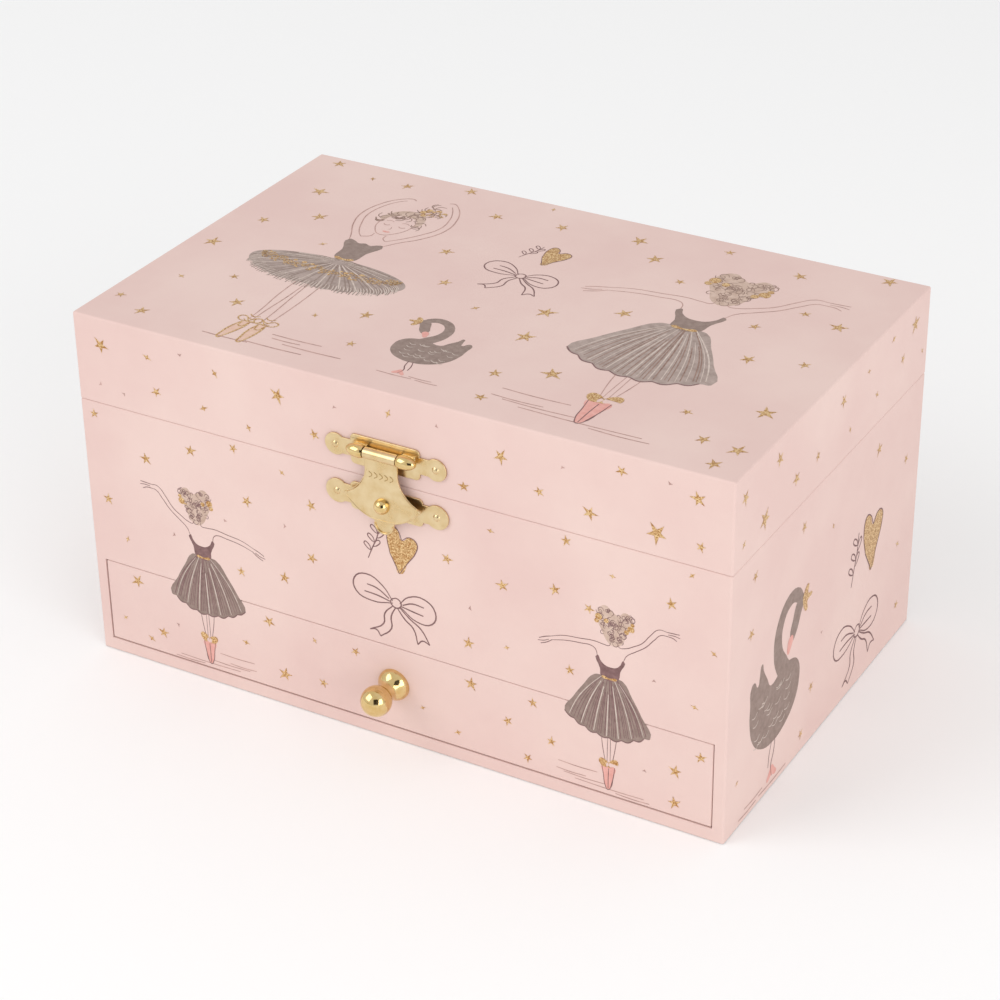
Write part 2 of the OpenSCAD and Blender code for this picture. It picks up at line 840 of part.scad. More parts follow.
// Spring click that lets the ratchet wheel turn one way while winding
module click_spring() {
    y0 = plate_y - side_gap - ratchet_t;
    foot_x = arbor_x - 12;
    foot_z = arbor_z + 9;
    color(steel) {
        translate([foot_x, y0, foot_z]) along_y() cylinder(r = 1.5, h = plate_y - y0);
        translate([foot_x, y0 + ratchet_t / 2, foot_z]) rotate([0, 50, 0])
            block([0, -ratchet_t / 2, -0.25], [6.2, ratchet_t / 2, 0.25]);
    }
}

// ---- Spring barrel, winding arbor and key ----

module at_arbor(y) {
    translate([arbor_x, y, arbor_z]) along_y() children();
}

// Drum that holds the mainspring, with crown teeth on its front face
module spring_barrel() {
    rim_t = 0.8;
    face_t = 1;
    color(brass) at_arbor(barrel_y0) {
        difference() {
            cylinder(r = barrel_r, h = barrel_len);
            translate([0, 0, face_t]) cylinder(r = barrel_r - rim_t, h = barrel_len);
            translate([0, 0, -1]) cylinder(r = arbor_r + run_fit, h = barrel_len);
        }
        for (i = [0 : crown_n - 1]) rotate(90 + (i + 0.5) * 360 / crown_n)
            block([crown_r - 1.1, -0.4, -crown_h], [crown_r + 0.9, 0.4, 0.1]);
    }
}

// Coiled strip inside the barrel
module mainspring() {
    turns = 4.5;
    steps = 96;
    strip = 0.4;
    r0 = arbor_r + 1;
    r1 = barrel_r - 1.3;
    ring = [for (i = [0 : steps]) [r0 + (r1 - r0) * i / steps, 360 * turns * i / steps]];
    edge = [
        for (p = ring) p[0] * [cos(p[1]), sin(p[1])],
        for (i = [steps : -1 : 0]) (ring[i][0] + strip) * [cos(ring[i][1]), sin(ring[i][1])]
    ];
    color(steel) at_arbor(barrel_y0 + 1.4) linear_extrude(barrel_len - 2) polygon(edge);
}

module winding_arbor() {
    y0 = barrel_y0 - 1;
    color(steel) at_arbor(y0) cylinder(r = arbor_r, h = key_y + key_len - y0 - 1);
}

module ratchet_wheel() {
    teeth = 16;
    tip = 6.4;
    color(brass) at_arbor(plate_y - side_gap - ratchet_t) linear_extrude(ratchet_t) difference() {
        polygon([
            for (i = [0 : teeth - 1]) each [
                tip * [cos(i * 360 / teeth), sin(i * 360 / teeth)],
                (tip - 1) * [cos((i + 0.1) * 360 / teeth), sin((i + 0.1) * 360 / teeth)]
            ]
        ]);
        circle(arbor_r);
    }
}

// Butterfly key on the arbor's outer end
module winding_key() {
    hub_r = 2.6;
    wing_t = 1.4;
    color(pale_gold) at_arbor(key_y) {
        difference() {
            union() {
                cylinder(r = hub_r, h = key_len);
                rotate([90, 0, 0]) translate([0, 0, -wing_t / 2]) linear_extrude(wing_t) difference() {
                    union() {
                        for (x = [-1, 1]) translate([x * (key_half - 5), key_len + 1.5]) circle(5);
                        translate([-3, 3.5]) square([6, key_len - 1]);
                    }
                    for (x = [-1, 1]) translate([x * (key_half - 5), key_len + 1.5]) circle(2.2);
                }
            }
            translate([0, 0, -1]) cylinder(r = arbor_r, h = key_len);
        }
    }
}

// ---- Cylinder and gears ----

// Pinned cylinder on its upright arbor
module pin_cylinder() {
    pins = notes * 3;
    color(brass) translate([cyl_x, cyl_y, 0]) {
        translate([0, 0, cyl_z]) cylinder(r = cyl_r, h = cyl_h);
        translate([0, 0, shelf_top - shelf_t + 0.4]) cylinder(r = cyl_arbor_r, h = gear_z + gear_t - shelf_top + shelf_t - 0.4);
        for (i = [0 : pins - 1])
            translate([0, 0, cyl_z + 0.7 + (i % notes) * note_pitch]) rotate(i * 137.5)
                along_x() cylinder(r = 0.18, h = cyl_r + pin_out, $fn = 6);
    }
}

module cylinder_pinion() {
    color(brass) translate([cyl_x, cyl_y, pinion_z - pinion_h / 2])
        gear(pinion_n, crown_m, pinion_h, cyl_arbor_r, 90);
}

module transfer_gear() {
    color("#efe9dc") translate([cyl_x, cyl_y, gear_z])
        gear(transfer_n, gear_m, gear_t, cyl_arbor_r, table_dir);
}

module turntable_gear() {
    color("#efe9dc") translate([0, table_y, gear_z])
        gear(table_n, gear_m, gear_t, arbor_r, table_phase);
}

module turntable() {
    shaft_z = gear_z - 0.5;
    color(pink_paper) translate([0, table_y, 0]) {
        translate([0, 0, shaft_z]) cylinder(r = arbor_r, h = disc_z + 0.1 - shaft_z);
        translate([0, 0, disc_z]) cylinder(r = table_r, h = disc_t);
    }
}

// Governor arbor with its pinion and worm wheel
module governor_wheel() {
    color(brass) translate([governor_x, cyl_y, 0]) {
        translate([0, 0, shelf_top - shelf_t + 0.4]) cylinder(r = governor_r, h = gear_z + gear_t - shelf_top + shelf_t - 0.4);
        translate([0, 0, worm_z - 0.6]) gear(worm_n, worm_m, 1.2, governor_r - 0.1, -90);
        translate([0, 0, gear_z]) gear(governor_n, gear_m, gear_t, governor_r - 0.1, governor_phase);
    }
}

// Fly: a shaft with two vanes that brake the train, and the worm that drives it
module fly() {
    x0 = vane_x0 - 2.2;
    x1 = governor_x + 6.4;
    color(steel) translate([0, worm_y, worm_z]) {
        translate([x0, 0, 0]) along_x() cylinder(r = fly_shaft_r, h = x1 - x0);
        block([vane_x0, -vane_r, -0.15], [vane_x1, vane_r, 0.15]);
        translate([governor_x - 3.2, 0, 0]) along_x() cylinder(r = 1.3, h = 6.4);
        worm_thread();
    }
}

// Helical thread of the worm, its groove facing the wheel's tooth
module worm_thread() {
    turns = 2.5;
    steps = 16 * turns;
    section = [[1.1, -0.32], [2.2, -0.16], [2.2, 0.16], [1.1, 0.32]];
    points = [for (i = [0 : steps]) for (s = section)
        let (a = 360 * turns * (i / steps - 0.5))
            [governor_x + worm_pitch * (0.5 + a / 360) + s[1], s[0] * cos(a), s[0] * sin(a)]];
    sides = [for (i = [0 : steps - 1]) for (k = [0 : 3])
        [4 * i + k, 4 * i + (k + 1) % 4, 4 * i + 4 + (k + 1) % 4, 4 * i + 4 + k]];
    polyhedron(points, concat(sides, [[3, 2, 1, 0], [for (k = [0 : 3]) 4 * steps + k]]), convexity = 8);
}

// Wire that the closed lid presses down, so that its arm brakes the fly
module stop_rod() {
    color(steel) {
        translate([rod_x, rod_y, arm_z - 0.5]) cylinder(r = rod_r, h = rod_top - arm_z + 0.5);
        translate([rod_x, arm_y, arm_z]) along_y() cylinder(r = 0.5, h = rod_y - arm_y);
        translate([vane_x0 + 2, arm_y, arm_z]) along_x() cylinder(r = 0.5, h = rod_x + 0.5 - vane_x0 - 2);
    }
}

// ---- Dancer ----

// Places the children in the dancer's own frame, folded forward about her spring
module folded() {
    translate([0, table_y, pivot_z]) rotate([fold, 0, 0]) children();
}

module dancer_spring() {
    coil_r = 1.7;
    color(steel) {
        translate([0, table_y, disc_z + disc_t]) cylinder(r = coil_r, h = pivot_z - disc_z - disc_t);
        translate([0, table_y, pivot_z]) sphere(r = coil_r + 0.1);
        folded() cylinder(r = coil_r, h = toe - 0.2);
    }
}

// Limb between two points, tapered from r1 to r2
module limb(a, b, r1, r2) {
    d = b - a;
    length = norm(d);
    translate(a) rotate([0, acos(d[2] / length), atan2(d[1], d[0])])
        cylinder(r1 = r1, r2 = r2, h = length, $fn = 24);
}

module dancer() {
    shoulder = dancer_len * 0.735;
    head_z = dancer_len * 0.835;
    color("#efc9b0") folded() {
        translate([0, 0, toe]) cylinder(r = 1.2, h = 2, $fn = 24);
        limb([0.3, 0, toe + 1.5], [1, 0, waist - 1.5], 0.8, 1.6);
        limb([-0.6, 0, toe + 4], [-1, 0, waist - 1.5], 0.8, 1.6);
        limb([0, 0, waist - 3], [0, 0, shoulder], 1.7, 2.3);
        limb([0, 0, shoulder - 0.5], [0, 0, head_z], 1, 1);
        translate([0, 0, head_z]) sphere(r = 2.5, $fn = 32);
        translate([0, 1.2, head_z + 2.1]) sphere(r = 1.3, $fn = 24);
        for (x = [-1, 1]) {
            limb([x * 2, 0, shoulder - 0.5], [x * 5, 0, head_z + 1.5], 0.9, 0.6);
            limb([x * 5, 0, head_z + 1.2], [x * 0.8, 0, dancer_len - 0.3], 0.6, 0.4);
            translate([x * 5, 0, head_z + 1.4]) sphere(r = 0.65, $fn = 24);
        }
    }
}

module tutu() {
    color("#f3d9d6") folded() translate([0, 0, waist]) rotate_extrude()
        polygon([[2.3, -1.6], [tutu_r, -0.9], [tutu_r, 0.3], [2.3, 0.9]]);
}

case_bottom();
case_left();
case_right();
case_back();
case_front();
deck_board();
case_wrap();
case_lining();
tray_pads();
tray_partitions();
ring_rolls();
movement_cover();
cover_bush();
hinge_case_leaves();
hinge_pins();
case_nails();
latch_case_plate();
mounting_screws();
movement_frame();
comb();
movement_screws();
bridge();
fly_bracket();
click_spring();
lid_top();
lid_walls();
lid_wrap();
lid_lining();
mirror_glass();  // mirror
hinge_lid_leaves();
lid_nails();
latch_lid_plate();
latch_pin();
stop_tab();
hasp();
hasp_rivet();
hasp_tongue();
drawer_front();
drawer_wrap();
drawer_walls();
drawer_bottom();
drawer_pad();
knob();
knob_screw();
spring_barrel();
mainspring();
winding_arbor();
ratchet_wheel();
winding_key();
pin_cylinder();
cylinder_pinion();
transfer_gear();
turntable_gear();
turntable();
dancer_spring();
dancer();
tutu();
governor_wheel();
fly();
stop_rod();
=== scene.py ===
# Ballerina jewellery box, put together in the order in which it is made: boards, covering
# paper and its print, lining, hinges, latch, drawer, movement, dancer, then the studio.
import math
import random

import bmesh
import bpy
from mathutils import Matrix, Vector


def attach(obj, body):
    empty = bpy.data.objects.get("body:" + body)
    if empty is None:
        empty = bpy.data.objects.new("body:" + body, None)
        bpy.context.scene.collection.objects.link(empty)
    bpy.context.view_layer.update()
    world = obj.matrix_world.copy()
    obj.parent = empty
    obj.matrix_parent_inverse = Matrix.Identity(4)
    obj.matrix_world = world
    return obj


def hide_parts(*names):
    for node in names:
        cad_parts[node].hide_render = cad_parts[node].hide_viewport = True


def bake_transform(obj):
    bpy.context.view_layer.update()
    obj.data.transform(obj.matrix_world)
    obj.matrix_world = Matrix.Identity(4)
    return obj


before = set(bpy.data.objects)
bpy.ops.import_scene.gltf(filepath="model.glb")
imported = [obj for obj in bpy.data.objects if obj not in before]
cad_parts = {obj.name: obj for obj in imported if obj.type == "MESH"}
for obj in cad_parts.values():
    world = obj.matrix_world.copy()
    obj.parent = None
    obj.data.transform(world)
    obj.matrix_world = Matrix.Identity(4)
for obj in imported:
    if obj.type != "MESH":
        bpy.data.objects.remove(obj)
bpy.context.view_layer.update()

# ---- Boards ----
# Grey recycled board, 2.7 mm thick and cut on a guillotine, glued edge to edge into a
# case, a lid and a drawer front. Little of it shows: the underside and the drawer's floor.
MM = 0.001


def linear(code):
    """Linear colour of an sRGB hex value."""
    parts = [int(code[i : i + 2], 16) / 255 for i in (1, 3, 5)]
    return [c / 12.92 if c <= 0.04045 else ((c + 0.055) / 1.055) ** 2.4 for c in parts] + [1]


def add(finish, kind, values=(), links=(), **settings):
    """Adds a node to a finish, with its sockets' values, its incoming links and settings."""
    node = finish.node_tree.nodes.new(kind)
    for key, value in settings.items():
        setattr(node, key, value)
    for key, value in dict(values).items():
        node.inputs[key].default_value = value
    for key, output in dict(links).items():
        finish.node_tree.links.new(output, node.inputs[key])
    return node


def new_finish(name, **sockets):
    """An empty finish: its material, its shader, and the Object coordinates."""
    finish = bpy.data.materials.new(name)
    finish.use_nodes = True
    finish.node_tree.nodes.clear()
    place = add(finish, "ShaderNodeTexCoord").outputs["Object"]
    shader = add(finish, "ShaderNodeBsdfPrincipled", {k.replace("_", " "): v for k, v in sockets.items()})
    add(finish, "ShaderNodeOutputMaterial", links={"Surface": shader.outputs["BSDF"]})
    return finish, shader, place


def mottle(finish, shader, pattern, low, high, start=0.3, stop=0.7):
    """Colours a finish between two sRGB hex values by a pattern."""
    ramp = add(finish, "ShaderNodeValToRGB", links={"Fac": pattern})
    ramp.color_ramp.elements[0].position, ramp.color_ramp.elements[1].position = start, stop
    ramp.color_ramp.elements[0].color, ramp.color_ramp.elements[1].color = linear(low), linear(high)
    finish.node_tree.links.new(ramp.outputs["Color"], shader.inputs["Base Color"])
    return ramp


def relief(finish, shader, pattern, depth):
    """Raises a finish by a pattern, depth in metres."""
    bump = add(finish, "ShaderNodeBump", {"Distance": depth, "Strength": 1.0}, {"Height": pattern})
    finish.node_tree.links.new(bump.outputs["Normal"], shader.inputs["Normal"])


def noisy_finish(name, size, detail, low, high, depth=None, polish=None, noise=(), **sockets):
    """A finish coloured by noise of that size in mm, which may raise it or vary its roughness too."""
    finish, shader, place = new_finish(name, **sockets)
    pattern = add(finish, "ShaderNodeTexNoise", {"Scale": 1 / (size * MM), "Detail": detail, **dict(noise)},
                  {"Vector": place}).outputs["Fac"]
    mottle(finish, shader, pattern, low, high)
    if polish:
        worn = add(finish, "ShaderNodeMapRange", {"To Min": polish[0], "To Max": polish[1]},
                   {"Value": pattern})
        finish.node_tree.links.new(worn.outputs["Result"], shader.inputs["Roughness"])
    if depth:
        relief(finish, shader, pattern, depth * MM)
    return finish


def coat(finish, *names):
    """Gives a finish to CAD nodes, by their material slots."""
    for name in names:
        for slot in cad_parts[name].material_slots:
            slot.material = finish


# Recycled greyboard: matt, warm grey, flecked with short fibres about 1 mm long
greyboard = noisy_finish("recycled_greyboard", 1.0, 6.0, "#9d8d78", "#bdae99", depth=0.04, Roughness=0.92)
coat(greyboard, "case_bottom", "case_left", "case_right", "case_back", "case_front", "deck_board",
     "lid_top", "lid_walls", "drawer_front", "drawer_bottom")

# ---- Covering paper ----
# Printed art paper, 0.3 mm with its glue, drawn tight over the boards and turned in over
# the case's rim, the lid's rim and the edges of the drawer opening.
BOX = (179.84, 112.84, 97.42)  # the paper's width, depth and height, which leave room for the print
RIM, LID = 73.5, 73.66  # heights of the case's rim and of the lid's lower edge
OPENING = (86.9, 3.4, 27.4)  # half width, bottom and top of the drawer opening
DRAWER = (86.6, 3.7, 27.1)  # half width, bottom and top of the drawer front
DRAWER_BACK = -53.5  # where the paper on the drawer front ends
INNER = (86.8, 53.3)  # half width and half depth inside the walls
FOLD_R = 0.55  # paper rounds the board's edges at about this radius
PAPER, TURNED_IN, TUCKED_IN = 0.25, 2.3, 2.9  # its thickness, and how far it goes in at a rim and an opening
ARBOR = (5, 44.8, 2.4)  # the winding arbor's place across and up, and the radius of its hole


def choose(*pieces):
    """Selects only these pieces, the first of them active."""
    bpy.ops.object.select_all(action="DESELECT")
    for piece in pieces:
        piece.select_set(True)
    if pieces:
        bpy.context.view_layer.objects.active = pieces[0]


def box(name, low, high):
    """A cube between two corners in mm, in the frame's place."""
    choose()
    low, high = Vector(low) * MM, Vector(high) * MM
    bpy.ops.mesh.primitive_cube_add(size=1, location=(low + high) / 2, scale=high - low)
    bpy.ops.object.transform_apply()
    piece = bpy.context.object
    piece.name = piece.data.name = name
    return piece


def open_up(piece):
    """Starts editing a piece."""
    choose(piece)
    bpy.ops.object.mode_set(mode="EDIT")


def shut():
    """Ends editing."""
    bpy.ops.object.mode_set(mode="OBJECT")


def pick(kind, test):
    """In edit mode, selects only the parts of that kind whose middle, in mm, passes the test."""
    bpy.ops.mesh.select_mode(type=kind)
    bpy.ops.mesh.select_all(action="DESELECT")
    mesh = bmesh.from_edit_mesh(bpy.context.object.data)
    for part in {"VERT": mesh.verts, "EDGE": mesh.edges, "FACE": mesh.faces}[kind]:
        if kind == "VERT":
            middle = part.co
        elif kind == "EDGE":
            middle = (part.verts[0].co + part.verts[1].co) / 2
        else:
            middle = part.calc_center_median()
        part.select_set(bool(test(middle / MM, part)))
    mesh.select_flush_mode()
    bmesh.update_edit_mesh(bpy.context.object.data)


def slice_at(axis, value):
    """Cuts the piece being edited across an axis at a place in mm."""
    bpy.ops.mesh.select_all(action="SELECT")
    point, normal = [0, 0, 0], [0, 0, 0]
    point[axis], normal[axis] = value * MM, 1
    bpy.ops.mesh.bisect(plane_co=point, plane_no=normal)


def bend(piece, kind, name="step", **settings):
    """Adds a modifier to a piece and applies it."""
    choose(piece)
    step = piece.modifiers.new(name, kind)
    for key, value in settings.items():
        setattr(step, key, value)
    bpy.ops.object.modifier_apply(modifier=name)


def smooth(piece, angle=32):
    """Smooth shading that keeps flat faces flat."""
    choose(piece)
    bpy.ops.object.shade_smooth_by_angle(angle=math.radians(angle))
    bend(piece, "WEIGHTED_NORMAL", keep_sharp=True)


def wear(piece, body, finish, replaces=()):
    """Finishes a piece and sets it on its body."""
    piece.data.materials.clear()
    piece.data.materials.append(finish)
    if replaces:
        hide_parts(*replaces)
    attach(piece, body)
    return piece


# Coated art paper, offset printed in pale pink: a soft silk surface with a fine tooth,
# the pink a little uneven, as a watercolour ground is, in clouds about 35 mm across
pink_paper, shader, place = new_finish("printed_art_paper", Roughness=0.62, Specular_IOR_Level=0.35)
clouds = add(pink_paper, "ShaderNodeTexNoise", {"Scale": 1 / (35 * MM), "Detail": 4.0, "Roughness": 0.55},
             {"Vector": place})
mottle(pink_paper, shader, clouds.outputs["Fac"], "#dfc1ba", "#e4c9c1", 0.35, 0.65)
tooth = add(pink_paper, "ShaderNodeTexNoise", {"Scale": 1 / (0.35 * MM), "Detail": 3.0}, {"Vector": place})
relief(pink_paper, shader, tooth.outputs["Fac"], 0.006 * MM)


def cover(name, low, high, rims, opening):
    """Paper over a box without a bottom or top: rims is the z of its open side."""
    piece = box(name, low, high)
    open_up(piece)
    up = rims == high[2]
    pick("EDGE", lambda m, e: abs(m.z - (low[2] + high[2]) / 2) < 1 or abs(m.z - high[2]) < 0.01)
    bpy.ops.mesh.bevel(offset=FOLD_R * MM, segments=4, affect="EDGES")
    for side in (-1, 1):
        slice_at(0, side * INNER[0])
        slice_at(1, side * INNER[1])
    pick("FACE", lambda m, f: abs(m.x) < INNER[0] and abs(m.y) < INNER[1] and abs(m.z - rims) < 0.01)
    bpy.ops.mesh.delete(type="FACE")
    if up:
        pick("FACE", lambda m, f: abs(m.z - low[2]) < 0.01)
        bpy.ops.mesh.delete(type="FACE")
    pick("EDGE", lambda m, e: e.is_boundary and abs(m.z - rims) < 0.01)
    bpy.ops.mesh.extrude_region_move(TRANSFORM_OT_translate={"value": (0, 0, (-TURNED_IN if up else TURNED_IN)
                                                                       * MM)})
    if opening:
        half, bottom, top = opening
        for x in (-half, half):
            slice_at(0, x)
        for z in (bottom, top):
            slice_at(2, z)
        pick("FACE", lambda m, f: abs(m.x) < half and bottom < m.z < top and m.y < low[1] + 0.01)
        bpy.ops.mesh.delete(type="FACE")
        pick("EDGE", lambda m, e: e.is_boundary and abs(m.x) < half + 0.1 and bottom - 0.1 < m.z < top + 0.1
             and m.y < low[1] + 0.01)
        bpy.ops.mesh.extrude_region_move(TRANSFORM_OT_translate={"value": (0, TUCKED_IN * MM, 0)})
    shut()
    bend(piece, "SOLIDIFY", thickness=PAPER * MM, offset=-1, use_even_offset=True)
    smooth(piece)
    return piece


half_w, half_d = BOX[0] / 2, BOX[1] / 2
case_paper = cover("case_paper", (-half_w, -half_d, 0), (half_w, half_d, RIM), RIM, OPENING)
# The hole that the winding arbor comes out through
choose()
bpy.ops.mesh.primitive_cylinder_add(vertices=48, radius=ARBOR[2] * MM, depth=4 * MM,
                                    rotation=(math.pi / 2, 0, 0),
                                    location=Vector((ARBOR[0], half_d, ARBOR[1])) * MM)
punch = bpy.context.object
bend(case_paper, "BOOLEAN", operation="DIFFERENCE", object=punch)
bpy.data.objects.remove(punch)
wear(case_paper, "case", pink_paper, ["case_wrap"])

lid_paper = cover("lid_paper", (-half_w, -half_d, LID), (half_w, half_d, BOX[2]), LID, None)
wear(lid_paper, "lid", pink_paper, ["lid_wrap"])

drawer_paper = box("drawer_paper", (-DRAWER[0], -half_d, DRAWER[1]), (DRAWER[0], DRAWER_BACK, DRAWER[2]))
bend(drawer_paper, "BEVEL", width=0.4 * MM, segments=4, limit_method="ANGLE")
smooth(drawer_paper)
wear(drawer_paper, "drawer", pink_paper, ["drawer_wrap"])

# ---- Print on the paper ----
# Drawings printed on the covering paper before it is cut: line work in mauve-brown ink,
# grey washes, and gold glitter. Each is a film a few hundredths of a millimetre thick.
def upright(x, y, turn):
    """How a drawing in X and Y, facing +Z, is stood on a side of the box that faces that way."""
    return (Matrix.Translation((x * MM, y * MM, 0)) @ Matrix.Rotation(turn, 4, "Z")
            @ Matrix.Rotation(math.pi / 2, 4, "X"))


FACES = {
    "front": upright(0, -half_d, 0),
    "top": Matrix.Translation((0, 0, BOX[2] * MM)),
    "right": upright(half_w, 0, math.pi / 2),
    "left": upright(-half_w, 0, -math.pi / 2),
    "back": upright(0, half_d, math.pi),
}
# How high each layer of print lies over the paper in mm, so that a later one covers an earlier
GROUND, SHAPE, LINE, LIGHT_LINE = 0.012, 0.02, 0.03, 0.034
FEATHER, OUTLINE, GOLD, TOP_GOLD = 0.04, 0.045, 0.05, 0.055


def from_curve(name, curve):
    """A mesh piece made from a curve."""
    piece = bpy.data.objects.new(name, curve)
    bpy.context.collection.objects.link(piece)
    choose(piece)
    bpy.ops.object.convert(target="MESH")
    return bpy.context.object


def drawn(name, lines, face, lift, width=None):
    """Pen strokes of a width, or else filled outlines, through points in mm on a face of the box."""
    filled = width is None
    curve = bpy.data.curves.new(name, "CURVE")
    curve.dimensions = "2D" if filled else "3D"
    curve.resolution_u = 4
    if filled:
        curve.fill_mode, curve.extrude = "BOTH", 0.008 * MM
    else:
        curve.bevel_depth, curve.bevel_resolution, curve.use_fill_caps = MM, 0, True
    for line in lines:
        spline = curve.splines.new("BEZIER")
        spline.bezier_points.add(len(line) - 1)
        spline.use_cyclic_u = filled
        for i, (point, spot) in enumerate(zip(spline.bezier_points, line)):
            point.co = (spot[0] * MM, spot[1] * MM, 0)
            point.handle_left_type = point.handle_right_type = "AUTO"
            # a pen stroke is widest before its middle and thin where it starts and ends
            press = 1 if filled else 0.35 + 0.65 * math.sin(math.pi * (i + 0.5) / len(line)) ** 0.6
            point.radius = press * (spot[2] if len(spot) > 2 else width or 1) / 2
    piece = from_curve(name, curve)
    bpy.ops.object.shade_flat()
    if not filled:  # a line of ink is flat
        piece.data.transform(Matrix.Diagonal((1, 1, 0.012 * MM / (width / 2 * MM), 1)))
    piece.data.transform(FACES[face] @ Matrix.Translation((0, 0, lift * MM)))
    return piece


def split_off(piece, name, height):
    """Cuts a piece at a height in mm and returns what was below, as a piece of its own."""
    lower = piece.copy()
    lower.data = piece.data.copy()
    lower.name = lower.data.name = name
    bpy.context.collection.objects.link(lower)
    for half, keep_above in ((piece, True), (lower, False)):
        open_up(half)
        bpy.ops.mesh.select_all(action="SELECT")
        bpy.ops.mesh.bisect(plane_co=(0, 0, height * MM), plane_no=(0, 0, 1), use_fill=True,
                            clear_inner=keep_above, clear_outer=not keep_above)
        shut()
    return lower


def print_picture(name, face, body, parts, cut=None):
    """Prints a picture's parts: suffix, lines, layer, pen width, finish. A cut is the drawer's top."""
    for suffix, lines, layer, width, finish in parts:
        piece = drawn(name + suffix, lines, face, layer, width)
        heights = [vertex.co.z / MM for vertex in piece.data.vertices]
        if cut and max(heights) < cut:
            wear(piece, "drawer", finish)
            continue
        if cut and min(heights) < cut:
            wear(split_off(piece, piece.name + "_low", cut), "drawer", finish)
        wear(piece, body, finish)


def pen(points, width):
    """The points of a stroke with its width in mm."""
    return [(p[0], p[1], width) for p in points]


def placed(points, centre, scale=1, flip=1):
    """Points about a centre in mm; a third value, the pen's width, stays as it is."""
    return [(centre[0] + flip * scale * p[0], centre[1] + scale * p[1], *p[2:]) for p in points]


# Offset ink, mauve-brown: matt and thin, its line a little broken by the paper's tooth
line_ink = noisy_finish("offset_line_ink", 1.2, 3.0, "#6f4f4e", "#8b6a68", Roughness=0.7)

# The same ink laid thin, for the pale strokes of arms, legs and floor
pale_ink = noisy_finish("offset_pale_ink", 2.0, 3.0, "#a58078", "#c8a298", Roughness=0.7)

# Grey watercolour wash: pooled and uneven, in patches about 2 mm across
wash = noisy_finish("watercolour_wash_grey", 2.2, 8.0, "#948179", "#b8a59d", noise={"Roughness": 0.65},
                    Roughness=0.66)

# Darker wash of the bodices and the swans
dark_wash = noisy_finish("watercolour_wash_dark", 1.6, 8.0, "#826d64", "#9d887f", noise={"Roughness": 0.7},
                         Roughness=0.66)

# Light strokes drawn back out of the wash, for pleats and feathers
light_ink = noisy_finish("offset_light_ink", 1.5, 3.0, "#bfada2", "#d6c6bc", Roughness=0.66)

# Beige wash of the hair, thin enough for the pink to warm it, and its brown pen
hair_wash = noisy_finish("watercolour_wash_beige", 1.8, 6.0, "#bca08f", "#d3b9aa", Roughness=0.66)
hair_ink = noisy_finish("offset_hair_ink", 1.0, 3.0, "#806458", "#a3867a", Roughness=0.7)

# Pink wash of the shoes
shoe_pink = noisy_finish("watercolour_wash_pink", 1.5, 5.0, "#d9988e", "#e4aca2", Roughness=0.66)

# The same wash with more water in it
shoe_pale = noisy_finish("watercolour_wash_pale_pink", 1.5, 5.0, "#d8b09c", "#e2c0ae", Roughness=0.66)

# Gold glitter varnish: flakes about 0.3 mm across, each lying at its own tilt, and each flake's colour
# painted lighter for a painted flash on some and darker for painted shade on others, so some flash and others
# stay dark
glitter, shader, place = new_finish("gold_glitter_varnish", Metallic=0.85, Roughness=0.38)
flakes = add(glitter, "ShaderNodeTexVoronoi", {"Scale": 1 / (0.3 * MM)}, {"Vector": place})
flake_tilt_and_painted_flash = add(glitter, "ShaderNodeSeparateColor", links={"Color": flakes.outputs["Color"]})
# each flake's gold painted lighter or darker: a painted highlight on some flakes, painted shade on the rest
mottle(glitter, shader, flake_tilt_and_painted_flash.outputs["Red"], "#b5814a", "#f0d09c", 0.1, 0.95)
relief(glitter, shader, flake_tilt_and_painted_flash.outputs["Green"], 0.05 * MM)


